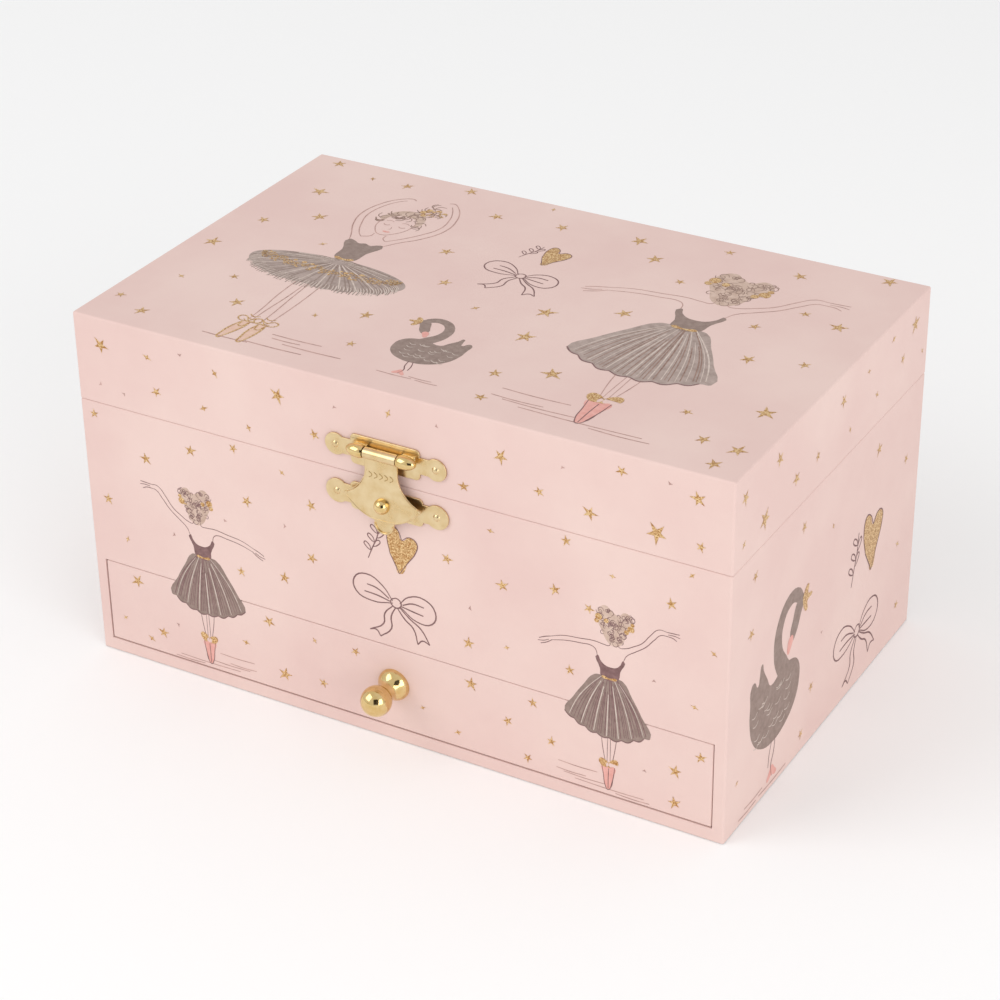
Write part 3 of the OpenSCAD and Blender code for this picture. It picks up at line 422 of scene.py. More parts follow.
def dancer_from_behind(face, centre, scale, flip, name, hem_cut=None):
    """A dancer on her toes, seen from behind, drawn about her waist in mm at scale 1."""
    random.seed(7)
    large = scale > 1.2  # the large dancers have a paler skirt and finer ink

    def spot(points):
        return placed(points, centre, scale, flip)

    def fine(points, width):
        return pen(points, width * scale ** 0.6)

    # the full skirt: a bell from the waist to a ragged hem
    hem = [(-11.8, -12.6), (-10.4, -13.9), (-9.2, -14.2), (-7.9, -15.4), (-6.3, -15.5), (-4.8, -16.6),
           (-3.2, -16.4), (-1.6, -17.1), (0.1, -16.8), (1.8, -17.3), (3.4, -16.5), (5.1, -16.6), (6.6, -15.4),
           (8.1, -15.3), (9.3, -14.1), (10.9, -13.7)]
    bell = [(2.1, 0.4), (3.6, 0.1), (6.0, -3.6), (8.6, -8.2), (10.9, -13.7)]
    skirt = [(-2.0, 0.4), (-3.9, 0.0), (-6.9, -3.9), (-9.6, -8.2)] + hem + bell[-2::-1]
    parts = [("_skirt", [spot(skirt)], GROUND, None, wash if large else dark_wash)]
    # pleats fan out of the waist, dark ones and light ones
    dark, light = [], []
    for i in range(34):
        t = min(max((i + random.uniform(-0.3, 0.3)) / 33, 0.03), 0.96)
        foot = (-11.2 + 21.9 * t, -12.9 - 3.8 * math.sin(math.pi * t) + random.uniform(0, 0.5))
        start = random.uniform(0.0, 0.35)
        lean = math.copysign(abs(2 * t - 1) ** 1.5, 2 * t - 1)
        line = []
        for k in range(5):
            s = start + (1 - start) * k / 4
            x = (-1.9 + 3.9 * t) * (1 - s) + foot[0] * s + 1.3 * lean * math.sin(math.pi * s)
            line.append((x, 0.3 * (1 - s) + foot[1] * s))
        pale = i % 5 in ((1, 3) if large else (1,))
        (light if pale else dark).append(spot(fine(line, random.uniform(0.14, 0.32))))
    parts += [("_pleats", dark, LINE, 0.25, hair_ink if large else line_ink),
              ("_folds", light, LIGHT_LINE, 0.25, light_ink)]
    edge = [spot(fine([hem[i], hem[i + 1], hem[i + 2]], 0.3)) for i in range(0, len(hem) - 2, 2)]
    # the bodice, cut low and round at the back
    bodice = [(-2.0, -0.1), (-2.4, 2.0), (-3.2, 5.6), (-2.3, 4.3), (-1.0, 3.3), (0.4, 3.1), (1.8, 3.4),
              (2.9, 4.5), (3.7, 5.8), (2.9, 2.6), (2.1, -0.1)]
    parts.append(("_bodice", [spot(bodice)], SHAPE, None, dark_wash if large else line_ink))
    # neck, shoulders and arms, one arm raised
    body = [
        fine([(-3.2, 5.6), (-3.5, 6.8), (-4.4, 7.6), (-7.5, 7.5), (-11.5, 7.0), (-15.2, 6.0)], 0.2),
        fine([(0.2, 10.0), (0.0, 9.1), (-1.6, 9.0), (-3.9, 9.2), (-8.0, 8.7), (-12.0, 8.2), (-15.6, 6.9)],
             0.2),
        fine([(3.7, 5.8), (4.4, 7.4), (6.8, 9.4), (9.3, 11.4), (11.6, 14.2), (13.2, 15.9), (14.7, 16.1)],
             0.2),
        fine([(2.2, 10.0), (2.5, 9.3), (3.9, 9.4), (6.3, 10.7), (8.4, 12.2), (10.5, 15.0), (12.6, 17.2),
              (14.8, 17.2)], 0.2),
        fine([(-15.2, 6.0), (-16.5, 5.0), (-18.2, 4.2)], 0.22),
        fine([(-15.6, 6.9), (-17.0, 6.4), (-18.6, 5.6)], 0.22),
        fine([(-16.0, 5.9), (-17.4, 5.2), (-18.9, 4.9)], 0.2),
        fine([(14.7, 16.1), (16.2, 16.0), (17.2, 15.5)], 0.22),
        fine([(14.8, 17.2), (16.4, 17.3), (17.9, 17.4)], 0.22),
        fine([(15.0, 16.6), (16.6, 16.7), (18.0, 16.5)], 0.2),
    ]
    # legs
    body += [
        fine([(-1.9, -16.8), (-1.6, -19.5), (-0.8, -23.9)], 0.18),
        fine([(-0.2, -17.0), (-0.3, -20.0), (-0.35, -23.8)], 0.14),
        fine([(2.1, -17.0), (1.7, -20.0), (1.0, -23.9)], 0.18),
        fine([(0.5, -17.1), (0.5, -20.0), (0.45, -23.8)], 0.14),
    ]
    parts.append(("_arms", [spot(line) for line in body], LINE, 0.2, pale_ink if large else line_ink))
    # hair: loose curls in one mass with a bun at each side
    curls = []
    for cx, cy, r, count in ((1.0, 13.2, 3.4, 34), (-1.3, 17.3, 2.0, 14), (4.0, 16.7, 2.1, 14),
                             (1.2, 10.8, 1.5, 7)):
        for _ in range(count):
            a, d = random.uniform(0, 2 * math.pi), r * math.sqrt(random.random())
            turn = random.uniform(0, 6.28)
            x, y, s = cx + d * math.cos(a), cy + d * math.sin(a), random.uniform(0.4, 0.95)
            loop = [(x + s * (1 - 0.1 * k) * math.cos(turn + k), y + s * (1 - 0.1 * k) * math.sin(turn + k))
                    for k in range(6)]
            curls.append(spot(fine(loop, 0.16)))
    mass = [(-2.9, 18.4), (-1.2, 19.7), (0.8, 18.3), (2.2, 17.8), (3.9, 19.1), (5.9, 17.6), (5.9, 15.2),
            (4.4, 13.4), (3.4, 10.6), (1.4, 9.1), (-0.4, 9.8), (-2.0, 12.6), (-3.3, 15.6)]
    parts += [("_hair", [spot(mass)], GROUND, None, hair_wash),
              ("_curls", curls, LIGHT_LINE, 0.2, hair_ink if large else line_ink)]
    # gold: flowers in the hair, the belt, and the bows of the shoes
    flowers = ((-2.9, 16.2, 0.9), (-3.4, 15.0, 0.6), (-0.9, 15.6, 0.6), (5.5, 15.0, 0.9), (4.4, 14.0, 0.6),
               (5.9, 16.3, 0.5))
    gold = [[(cx + r * math.cos(k), cy + r * math.sin(k)) for k in range(6)] for cx, cy, r in flowers]
    gold += [[(-1.9, 0.25), (0, -0.02), (2.0, 0.25), (2.0, -0.12), (0, -0.36), (-1.9, -0.12)],
             [(0.1, -24.6), (-1.4, -23.1), (-2.4, -23.4), (-2.1, -24.9), (-0.8, -25.4)],
             [(0.1, -24.6), (1.5, -22.7), (2.5, -22.9), (2.3, -24.5), (0.9, -25.3)],
             [(-0.5, -24.2), (0.1, -23.9), (0.7, -24.2), (0.8, -25.2), (0.1, -25.6), (-0.5, -25.2)]]
    parts.append(("_gold", [spot(line) for line in gold], GOLD, None, glitter))
    # shoes, on their points
    shoe = [(-1.7, -25.0), (0.0, -25.3), (1.7, -25.0), (1.4, -27.6), (0.6, -31.2), (-0.1, -31.8),
            (-0.7, -31.0), (-1.3, -27.6)]
    seams = [fine(shoe[3:8] + [shoe[0]], 0.2), fine([(1.7, -25.0), (1.4, -27.6), (0.7, -30.8)], 0.2),
             fine([(0.1, -25.6), (0.0, -28.4), (0.0, -31.4)], 0.2)]
    parts += [("_shoes", [spot(shoe)], SHAPE, None, shoe_pink),
              ("_lines", edge + [spot(line) for line in seams], OUTLINE, 0.2, line_ink)]
    floor = []
    for x0, x1, y in ((-13.5, -3.0, -27.8), (-12.0, -1.0, -30.6), (-9.0, 9.5, -31.6), (-14.0, -6.0, -30.0),
                      (2.0, 11.0, -32.4)):
        floor.append(spot(fine([(x0, y + 0.15), ((x0 + x1) / 2, y - 0.05), (x1, y + 0.1)], 0.24)))
    parts.append(("_floor", floor, LINE, 0.2, pale_ink))
    print_picture(name, face, "lid" if face == "top" else "case", parts, hem_cut)


SEAM = 27.25  # the drawer's top edge, which cuts through the skirts
dancer_from_behind("front", (-55.4, 36.8), 1.0, -1, "left_dancer", SEAM)
dancer_from_behind("front", (59.4, 37.0), 1.0, 1, "right_dancer", SEAM)
dancer_from_behind("top", (46.4, 6.0), 1.72, 1, "lid_dancer")


def dancer_from_the_front(face, centre, name):
    """A dancer in a plate tutu with her arms in a ring over her head."""
    random.seed(11)

    def spot(points):
        return placed(points, centre)

    def head(points):  # a little larger than the body, about the chin
        return spot([(0.7 + 1.2 * (p[0] - 0.7), 18.4 + 1.2 * (p[1] - 18.4), *p[2:]) for p in points])

    # plate tutu, seen a little from below
    rim = []
    for i in range(40):
        a = 2 * math.pi * i / 40
        x, y = 22.8 * math.cos(a), -7.6 + (7.2 if math.sin(a) > 0 else 9.3) * math.sin(a)
        if math.sin(a) < 0:
            y += random.uniform(-0.7, 0.7)
        rim.append((x, y))
    dark, light = [], []
    for i in range(64):
        a = 2 * math.pi * (i + random.uniform(-0.3, 0.3)) / 64
        reach = random.uniform(0.86, 1.0)
        end = (22.6 * math.cos(a) * reach, -7.6 + (7.0 if math.sin(a) > 0 else 9.2) * math.sin(a) * reach)
        start = (3.0 * math.cos(a), -2.4 + 1.2 * math.sin(a))
        middle = ((start[0] + end[0]) / 2, (start[1] + end[1]) / 2 + 0.5)
        line = [start, middle, end]
        (light if i % 3 == 1 else dark).append(spot(pen(line, random.uniform(0.22, 0.45))))
    gold = []
    for i in range(250):
        a = math.pi + math.pi * (i + 0.5) / 250
        middle = min(1.0, -2.5 * math.sin(a))  # the band narrows to nothing at the tutu's two ends
        row = random.choice((-1.3, -0.4, 0.0, 0.3, 1.3)) * middle
        x, y = 20.4 * math.cos(a), -5.2 + row + 2.8 * math.sin(a) + random.uniform(-0.35, 0.35)
        r = random.uniform(0.35, 0.85) * (0.6 + 0.4 * middle)
        gold.append([(x + r * math.cos(k), y + 0.8 * r * math.sin(k)) for k in (0, 1.3, 2.5, 3.8, 5.0)])
    for i in range(120):  # a fringe of loose net all round the lower edge
        a = math.pi * (1.03 + 0.94 * (i + random.uniform(-0.4, 0.4)) / 120)
        x, y, tail = 22.3 * math.cos(a), -7.4 + 8.9 * math.sin(a), random.uniform(0.4, 2.4)
        strand = [(x * 0.9, y + 1.6), (x * 0.97, y + 0.2), (x, y - tail)]
        (light if i % 2 else dark).append(spot(pen(strand, 0.28)))
    bodice = [(-2.6, 0.0), (-3.6, 5.4), (-5.2, 11.4), (-3.4, 11.2), (-1.6, 10.2), (0.0, 10.8), (1.8, 10.2),
              (3.4, 11.2), (4.9, 11.4), (3.6, 5.4), (2.6, 0.0), (0.0, -0.6)]
    gold.append([(-2.7, 0.8), (0, 0.3), (2.7, 0.8), (2.7, 0.2), (0, -0.4), (-2.7, 0.2)])
    # shoulders and arms
    body = [
        pen([(-5.2, 11.2), (-6.4, 14.0), (-9.6, 20.2), (-11.2, 26.8), (-10.0, 34.0), (-7.4, 38.6),
             (-5.2, 40.4)], 0.34),
        pen([(-3.6, 14.2), (-5.2, 16.0), (-7.9, 21.6), (-9.3, 27.0), (-8.4, 33.4), (-6.4, 37.4),
             (-4.6, 39.2)], 0.3),
        pen([(4.9, 11.2), (7.0, 14.6), (11.6, 20.4), (14.2, 27.2), (13.4, 34.6), (11.2, 39.6), (9.0, 42.4)],
            0.34),
        pen([(3.8, 14.2), (6.2, 16.8), (9.8, 22.0), (12.2, 27.6), (11.6, 33.8), (9.8, 38.4), (8.2, 41.0)],
            0.3), pen([(-5.2, 40.4), (-3.6, 40.9), (-2.4, 40.2)], 0.3),
        pen([(9.0, 42.4), (7.6, 43.2), (6.4, 42.8)], 0.3),
    ]
    # neck
    body += [
        pen([(-1.4, 17.4), (-1.5, 15.6), (-3.6, 14.2)], 0.28),
        pen([(2.2, 17.4), (2.3, 15.6), (3.8, 14.2)], 0.28),
    ]
    # the face, turned down a little, its eyes closed
    face_lines = [
        pen([(-3.0, 26.6), (-3.4, 23.4), (-2.4, 20.0), (0.3, 17.6), (3.2, 19.6), (4.6, 23.0), (4.4, 26.4)],
            0.26),
        pen([(-2.0, 23.0), (-1.2, 22.5), (-0.4, 22.9)], 0.3),
        pen([(1.8, 22.9), (2.6, 22.5), (3.4, 23.0)], 0.3),
        pen([(-2.2, 24.6), (-1.2, 25.0), (-0.4, 24.7)], 0.22),
        pen([(1.7, 24.7), (2.6, 25.0), (3.5, 24.6)], 0.22), pen([(0.6, 22.0), (0.8, 21.0), (0.5, 20.8)], 0.2),
    ]
    # legs
    body += [
        pen([(-3.4, -16.6), (-3.0, -26.0), (-2.2, -33.0), (-1.8, -40.0)], 0.3),
        pen([(-0.4, -16.6), (-0.4, -26.0), (-0.7, -33.0), (-0.8, -40.0)], 0.3),
        pen([(0.4, -16.6), (1.0, -26.0), (1.6, -33.0), (2.0, -40.0)], 0.3),
        pen([(3.8, -16.4), (4.2, -26.0), (4.2, -33.0), (4.0, -40.0)], 0.3),
    ]
    lips = [[(-0.2, 19.5), (0.3, 19.8), (0.7, 19.65), (1.1, 19.8), (1.6, 19.5), (0.7, 19.1)]]
    hair = [(-3.6, 24.6), (-3.4, 28.4), (-0.4, 31.0), (3.6, 30.6), (5.6, 27.6), (5.0, 24.6), (3.8, 27.2),
            (0.6, 28.2), (-2.2, 27.0)]
    curls = []
    for cx, cy, rx, ry, count in ((0.8, 28.6, 4.2, 2.2, 26), (4.4, 33.2, 3.2, 3.0, 20),
                                  (-3.6, 25.0, 0.8, 3.0, 6), (5.0, 25.4, 0.8, 3.0, 6)):
        for _ in range(count):
            a, d = random.uniform(0, 2 * math.pi), random.uniform(0.2, 1.0)
            x, y, s = cx + rx * d * math.cos(a), cy + ry * d * math.sin(a), random.uniform(0.8, 1.5)
            curl = [(x + s * math.cos(a + k), y + s * math.sin(a + k)) for k in (0.2, 1.1, 2.0, 2.9)]
            curls.append(head(pen(curl, 0.26)))
    gold = [spot(line) for line in gold]
    for i in range(22):
        a = 2 * math.pi * i / 22
        x, y, r = 5.2 + 2.6 * math.cos(a) * (i % 3) / 2, 32.0 + 1.7 * math.sin(a) * (i % 3) / 2, 0.75
        gold.append(head([(x + r * math.cos(k), y + r * math.sin(k)) for k in (0, 1.3, 2.5, 3.8, 5.0)]))
    shoes, ribbons = [], []  # on her points, laced round the ankles and tied at the side
    for x, lean in ((-1.4, -1.7), (3.2, -0.4)):
        sole = [(x - 1.1, -41.6), (x - 1.5 + lean * 0.3, -44.6), (x - 1.0 + lean * 0.8, -48.8),
                (x + lean, -51.6), (x + 0.8 + lean, -50.4), (x + 1.3 + lean * 0.6, -46.8),
                (x + 1.3 + lean * 0.2, -43.4), (x + 1.0, -41.4)]
        shoes.append(sole)
        ribbons += [pen(sole[:5], 0.55), pen(sole[4:], 0.55),
                    pen([sole[0], (x + lean * 0.2, -44.2), sole[-1]], 0.45)]
        for k in range(3):
            y = -37.4 - 1.5 * k
            ribbons.append(pen([(x - 1.5, y), (x, y - 0.9), (x + 1.5, y - 0.2)], 0.36))
        for side in (-1, 1):
            ribbons.append(pen([(x, -40.9), (x + 1.9 * side, -38.7), (x + 3.3 * side, -39.4),
                                (x + 2.4 * side, -41.1), (x, -41.0)], 0.42))
    floor = [pen([(x0, y), ((x0 + x1) / 2, y - 0.15), (x1, y + 0.1)], 0.4) for x0, x1, y in (
        (8.0, 22.0, -44.2), (13.0, 29.5, -47.6), (-8.0, 5.0, -50.8), (4.0, 20.0, -50.2), (9.0, 17.0, -46.0))]
    print_picture(name, face, "lid", (
        ("_pleats", dark, LINE, 0.3, dark_wash), ("_folds", light, LIGHT_LINE, 0.3, light_ink),
        ("_bodice", [spot(bodice)], LINE, None, dark_wash), ("_hair", [head(hair)], GROUND, None, hair_wash),
        ("_curls", curls, LINE, 0.26, hair_ink),
        ("_body", [spot(line) for line in body] + [head(line) for line in face_lines], LINE, 0.3, pale_ink),
        ("_lips", [head(line) for line in lips], SHAPE, None, shoe_pink),
        ("_shoes", [spot(line) for line in shoes], SHAPE, None, shoe_pale),
        ("_ribbons", [spot(line) for line in ribbons], FEATHER, 0.4, glitter),
        ("_floor", [spot(line) for line in floor], LINE, 0.4, pale_ink),
        ("_gold", gold, TOP_GOLD, None, glitter), ("_tutu", [spot(rim)], GROUND, None, wash)))


dancer_from_the_front("top", (-47.4, 0.6), "tutu_dancer")


def swan(face, body, centre, scale, flip, name):
    """A swan that stands at the water's edge, its neck in a curve, with a small crown."""
    random.seed(5)

    def spot(points, width=None):
        return placed(pen(points, width * scale ** 0.5) if width else points, centre, scale, flip)

    # about the middle of its body, 17 mm long at scale 1
    shape = [(-8.6, 0.6), (-8.0, 4.2), (-5.2, 6.0), (-2.0, 6.2), (1.8, 5.4), (3.2, 7.4), (4.6, 9.6),
             (5.2, 11.0), (5.9, 9.2), (6.4, 7.8), (7.6, 9.2), (8.6, 9.0), (8.9, 5.6), (8.9, 2.6), (7.6, -1.4),
             (4.6, -4.2), (0.6, -5.4), (-3.8, -4.8), (-7.2, -2.6)]
    neck = [(-4.6, 4.0), (-2.0, 6.6), (-0.2, 10.4), (-0.9, 14.6), (-3.8, 16.8), (-6.8, 16.2), (-8.4, 13.6)]
    head = [(-9.0, 14.6), (-8.0, 12.2), (-6.6, 9.8), (-5.2, 9.0), (-4.4, 10.4), (-5.2, 12.6), (-6.4, 15.0),
            (-8.0, 16.0)]
    beak = [(-5.6, 9.8), (-4.9, 8.2), (-4.0, 7.4), (-3.6, 8.6), (-4.4, 10.2)]
    neck_line = [(*p, wd * scale) for p, wd in zip(spot(neck), (4.6, 4.2, 3.0, 2.5, 2.5, 2.7, 3.0))]
    feathers = []
    for i in range(26):
        x, y = random.uniform(-5.5, 6.5), random.uniform(-3.4, 4.4)
        feathers.append(spot([(x, y), (x + 0.9, y - 0.55), (x + 1.9, y - 0.25)], 0.2))
    crown = [(-8.9, 15.4), (-10.6, 16.2), (-10.4, 14.7), (-12.0, 13.9), (-10.3, 13.4), (-10.3, 11.8),
             (-8.9, 13.0)]
    legs = [spot([(-0.6, -5.0), (-0.2, -7.6), (0.6, -9.4), (0.2, -11.6)], 0.3),
            spot([(0.6, -5.0), (1.4, -7.4), (1.6, -9.4)], 0.26)]
    floor = [spot([(x0, y), ((x0 + x1) / 2, y - 0.15), (x1, y)], 0.3) for x0, x1, y in (
        (-5.0, 4.6, -12.6), (3.4, 9.6, -11.8), (5.6, 11.6, -12.7))]
    foot = [(-1.4, -11.8), (-0.6, -10.4), (0.2, -9.6), (1.0, -10.4), (1.8, -12.0), (0.4, -11.5)]
    print_picture(name, face, body, (
        ("_body", [spot(shape)], GROUND, None, dark_wash), ("_neck", [neck_line], GROUND, 3, dark_wash),
        ("_head", [spot(head)], SHAPE, None, dark_wash), ("_beak", [spot(beak)], OUTLINE, None, shoe_pink),
        ("_feathers", feathers, FEATHER, 0.2, light_ink), ("_crown", [spot(crown)], GOLD, None, glitter),
        ("_legs", legs, LINE, 0.3, line_ink), ("_floor", floor, LINE, 0.3, pale_ink),
        ("_foot", [spot(foot)], LINE, None, shoe_pink)))


swan("top", "lid", (-2.4, -35.2), 1.0, 1, "lid_swan")
swan("right", "case", (-29.6, 22.0), 1.62, -1, "side_swan")
swan("left", "case", (29.6, 22.0), 1.62, 1, "left_swan")


def heart_and_bow(face, body, heart_at, size, bow_at, reach, name, lean=0):
    """A glitter heart and a leafy sprig, over a ribbon bow drawn with a pen."""

    def put(points, at, scale, width=None):
        c, s = math.cos(lean), math.sin(lean)
        return [(at[0] + scale * (p[0] * c - p[1] * s), at[1] + scale * (p[0] * s + p[1] * c))
                + ((width,) if width else ()) for p in points]

    heart = [(-0.42, 0.06), (-0.5, 0.78), (-0.34, 1.06), (-0.12, 0.96), (0.02, 0.62), (0.3, 0.8),
             (0.56, 0.66), (0.52, 0.34), (0.22, -0.12), (-0.1, -0.6), (-0.24, -0.3)]
    outline = put(heart + heart[:1], heart_at, size, 0.034 * size)
    # a leafy sprig beside the heart, and under both a tied ribbon bow
    sprig = [[(-1.22, -0.34), (-1.06, 0.06), (-0.88, 0.46), (-0.78, 0.92)]]
    for x, z, out in ((-1.1, -0.04, -1), (-1.02, 0.12, 1), (-0.96, 0.28, -1), (-0.88, 0.46, 1),
                      (-0.84, 0.62, -1)):
        sprig.append([(x, z), (x + 0.13 * out, z + 0.06), (x + 0.24 * out, z + 0.26),
                      (x + 0.08 * out, z + 0.2), (x, z)])
    strokes = [put(line, heart_at, size, 0.04 * size) for line in sprig]
    bow = [[(-0.06, 0.06), (-0.34, 0.42), (-0.8, 0.62), (-1.14, 0.42), (-1.1, 0.06), (-0.66, -0.1),
            (-0.06, 0.0)],
           [(0.14, 0.04), (0.4, 0.3), (0.84, 0.36), (1.14, 0.08), (1.04, -0.28), (0.62, -0.34),
            (0.14, -0.04)],
           [(-0.1, 0.1), (0.06, 0.16), (0.18, 0.04), (0.1, -0.1), (-0.06, -0.08), (-0.12, 0.04),
            (-0.06, 0.14)], [(-0.16, 0.1), (-0.5, 0.3), (-0.78, 0.34)],
           [(-0.14, 0.03), (-0.5, 0.1), (-0.86, 0.12)], [(0.22, 0.02), (0.5, 0.14), (0.82, 0.12)],
           [(0.2, -0.03), (0.5, -0.08), (0.8, -0.12)],
           [(-0.06, -0.08), (-0.3, -0.36), (-0.34, -0.66), (-0.74, -0.94)],
           [(0.02, -0.1), (-0.12, -0.4), (-0.12, -0.74), (-0.44, -1.06)],
           [(-0.74, -0.94), (-0.56, -0.9), (-0.44, -1.06)],
           [(0.06, -0.1), (0.28, -0.38), (0.5, -0.56), (0.62, -0.98)],
           [(0.13, -0.07), (0.42, -0.32), (0.72, -0.52), (0.96, -0.9)],
           [(0.62, -0.98), (0.76, -0.84), (0.96, -0.9)]]
    strokes += [put(line, bow_at, reach, 0.04 * reach) for line in bow]
    print_picture(name, face, body, (
        ("_heart", [put(heart, heart_at, size)], FEATHER, None, glitter),
        ("_heart_line", [outline[:5], outline[4:10], outline[9:]], TOP_GOLD, 0.3, line_ink),
        ("_pen", strokes, LINE, 0.3, line_ink)))


heart_and_bow("front", "case", (3.4, 53.6), 7.8, (1.0, 40.0), 10.0, "front")
heart_and_bow("top", "lid", (-0.6, 25.2), 6.6, (-3.0, 13.0), 9.4, "lid")
heart_and_bow("right", "case", (27.6, 37.4), 11.0, (20.0, 16.0), 12.0, "side", 0.12)
heart_and_bow("left", "case", (-25.0, 37.4), 11.0, (-24.0, 16.0), 12.0, "left_side")

# Scattered stars, glitter varnish with five thin uneven points, the smallest only ticks of
# ink. Each is drawn once and copied; sizes are across the points, in mm.
def star_shape(name, points, waist):
    """A flat star of radius 1 mm with points of those lengths."""
    choose()
    bpy.ops.mesh.primitive_circle_add(vertices=2 * len(points), radius=MM, fill_type="NGON")
    piece = bpy.context.object
    piece.name = name
    for i, vertex in enumerate(piece.data.vertices):
        vertex.co *= waist if i % 2 else points[i // 2]
    bend(piece, "SOLIDIFY", thickness=0.016 * MM, offset=1)
    return piece


BIG, SMALL = 2.6, 1.8  # sizes across above which a star has five points, and four
big_star = star_shape("big_star", (1.05, 0.92, 1.1, 0.86, 0.98), 0.34)
small_star = star_shape("small_star", (1.0, 0.62, 1.05, 0.7), 0.3)
tick_star = star_shape("tick_star", (1.0, 0.5, 0.95), 0.28)


def sow(name, face, body, stars):
    """Copies of the stars at places on a face, joined by their finish: glitter, and ink for ticks."""
    random.seed(len(stars))
    sown = {glitter: [], pale_ink: []}
    for x, y, size in stars:
        source = big_star if size > BIG else small_star if size > SMALL else tick_star
        copy = source.copy()
        copy.data = source.data.copy()
        copy.data.transform(FACES[face] @ Matrix.Translation((x * MM, y * MM, LINE * MM))
                            @ Matrix.Rotation(random.uniform(0, 6.28), 4, "Z")
                            @ Matrix.Diagonal((size / 2, size / 2 * random.uniform(0.85, 1.1), 1, 1)))
        bpy.context.collection.objects.link(copy)
        sown[glitter if size > SMALL else pale_ink].append(copy)
    for i, (finish, copies) in enumerate(sown.items()):
        if copies:
            choose(*copies)
            bpy.ops.object.join()
            copies[0].name = f"{name}_{i}"
            wear(copies[0], body, finish)


sow("lid_front_stars", "front", "lid", [
    (-82, 90, 4.5), (-68, 90, 2.5), (-58, 93, 1.5), (-48, 90.5, 2.5), (-30, 89, 4.5), (-14, 90, 1.5),
    (1, 92, 2.5), (14, 92, 1.5), (31, 88.5, 4), (47, 90, 1.5), (62, 93, 3), (74, 93, 1.5), (81, 91, 4.5),
    (-83, 79, 1.5), (-76, 78, 1.5), (-66, 81, 3), (-52, 80, 2.5), (-39, 78, 2.5), (-20, 81, 3), (21, 78, 3),
    (41, 82, 3), (54, 80, 4), (71, 79.5, 6), (82, 79, 3)])
sow("case_front_stars", "front", "case", [
    (-86, 70, 3), (-57, 67, 3.5), (-44, 71, 3), (-71, 61, 3.5), (-30, 68, 2), (-22, 61, 3.5), (-41, 57, 3.5),
    (-30, 53, 1.5), (-48, 49.5, 1.5), (-22.5, 46, 3.5), (-84, 46, 3.5), (-64, 41, 1.5), (-44, 36, 3),
    (-31, 38, 3.5), (-79, 35.5, 2), (16, 57, 3.5), (31, 54, 3.5), (48, 71, 3), (80, 71, 2), (28, 68, 2),
    (60, 65, 2), (75, 62, 3.5), (45, 57, 3.5), (54, 54.5, 3), (86, 52, 2), (22, 45, 1.5), (21.5, 35, 3.5),
    (32, 37, 2), (49, 36, 3), (71, 40, 1.5), (81.5, 36, 2)])
sow("drawer_stars", "front", "drawer", [
    (-77, 23.5, 4), (-36.5, 23.5, 4), (-23, 22, 2), (-11, 22.5, 3), (22, 23.5, 4), (39, 23.5, 3),
    (83.5, 22.5, 3.5), (-44, 15, 2.5), (-65, 14, 1.5), (-82, 11, 2), (-70, 10, 3.5), (-74, 7, 2.5),
    (-32.5, 9, 4.5), (-21, 10, 3), (-8, 6.5, 2.5), (8, 12, 2), (32, 16, 3), (44, 14, 3), (69, 14, 1.5),
    (77, 16.5, 4), (18, 8, 2.5), (37.5, 7, 3), (77, 7.4, 4)])
sow("lid_top_stars", "top", "lid", [
    (-81.5, 52.5, 4.5), (-68, 48, 2.5), (-57, 48, 4), (-40, 53, 4.5), (-26, 42, 4), (-15, 53, 2),
    (-7.5, 44, 4), (14, 46, 5.5), (37.5, 50.5, 3), (22.5, 38, 5), (59, 46, 4), (80, 53.5, 5), (-76, 34, 5),
    (-67, 20, 5), (-79, 11.5, 4), (-26.5, 17, 4), (34, 29, 3), (69, 27, 3), (79, 24, 5), (61, 15, 3.5),
    (30, 6.5, 4.5), (-57, 6, 2.5), (-17.5, 1, 4), (-83, -6, 5.5), (13, -2, 5.5), (67, -1.5, 4.5),
    (80, 2, 3.5), (-3.5, -8, 2.5), (15, -16, 5.5), (82, -24, 6), (-66, -21, 3), (-78, -27, 2.5),
    (-25, -24, 4), (-57, -33, 4.5), (-36, -30, 2.5), (30, -30, 6), (66, -32, 3), (-20, -39, 3), (18, -36, 4),
    (75, -42, 4.5), (84, -43, 5), (82, -51, 4.5), (21, -48, 3.5), (-75, -48, 4.5), (-85, -43, 3)])
sow("lid_side_stars", "right", "lid", [
    (-51, 91, 4), (-33, 92, 4), (3, 90, 4), (18, 91, 2), (33, 93, 2.5), (47, 91, 5), (-40, 80, 6),
    (-51, 79, 2.5), (-23, 82, 4), (-11, 82, 3), (8, 80, 2), (24, 82, 2.5), (40, 84.5, 3), (53, 81, 2)])
sow("case_side_stars", "right", "case", [
    (-44, 67, 3), (-17, 66, 3.5), (28, 65, 4), (-45, 52, 3.5), (47, 53, 3), (1, 57, 2), (-3, 29, 1.5),
    (45, 29, 2.5), (-8, 16, 3), (-13, 5, 3), (47, 9.5, 3), (-50, 13.5, 2)])


def scatter(half_width, low, high, gap, avoid):
    """Places for stars about a gap apart, clear of the pictures, or of the hinges and screws."""
    random.seed(int(half_width + low))
    places = []
    for _ in range(1500):
        x, y = random.uniform(-half_width, half_width), random.uniform(low, high)
        if all(math.hypot(x - p[0], y - p[1]) > gap for p in places) and not any(
                a < x < b and c < y < d for a, b, c, d in avoid):
            places.append((x, y, random.choice((1.5, 2.2, 3, 3.5, 4, 4.5))))
    return places


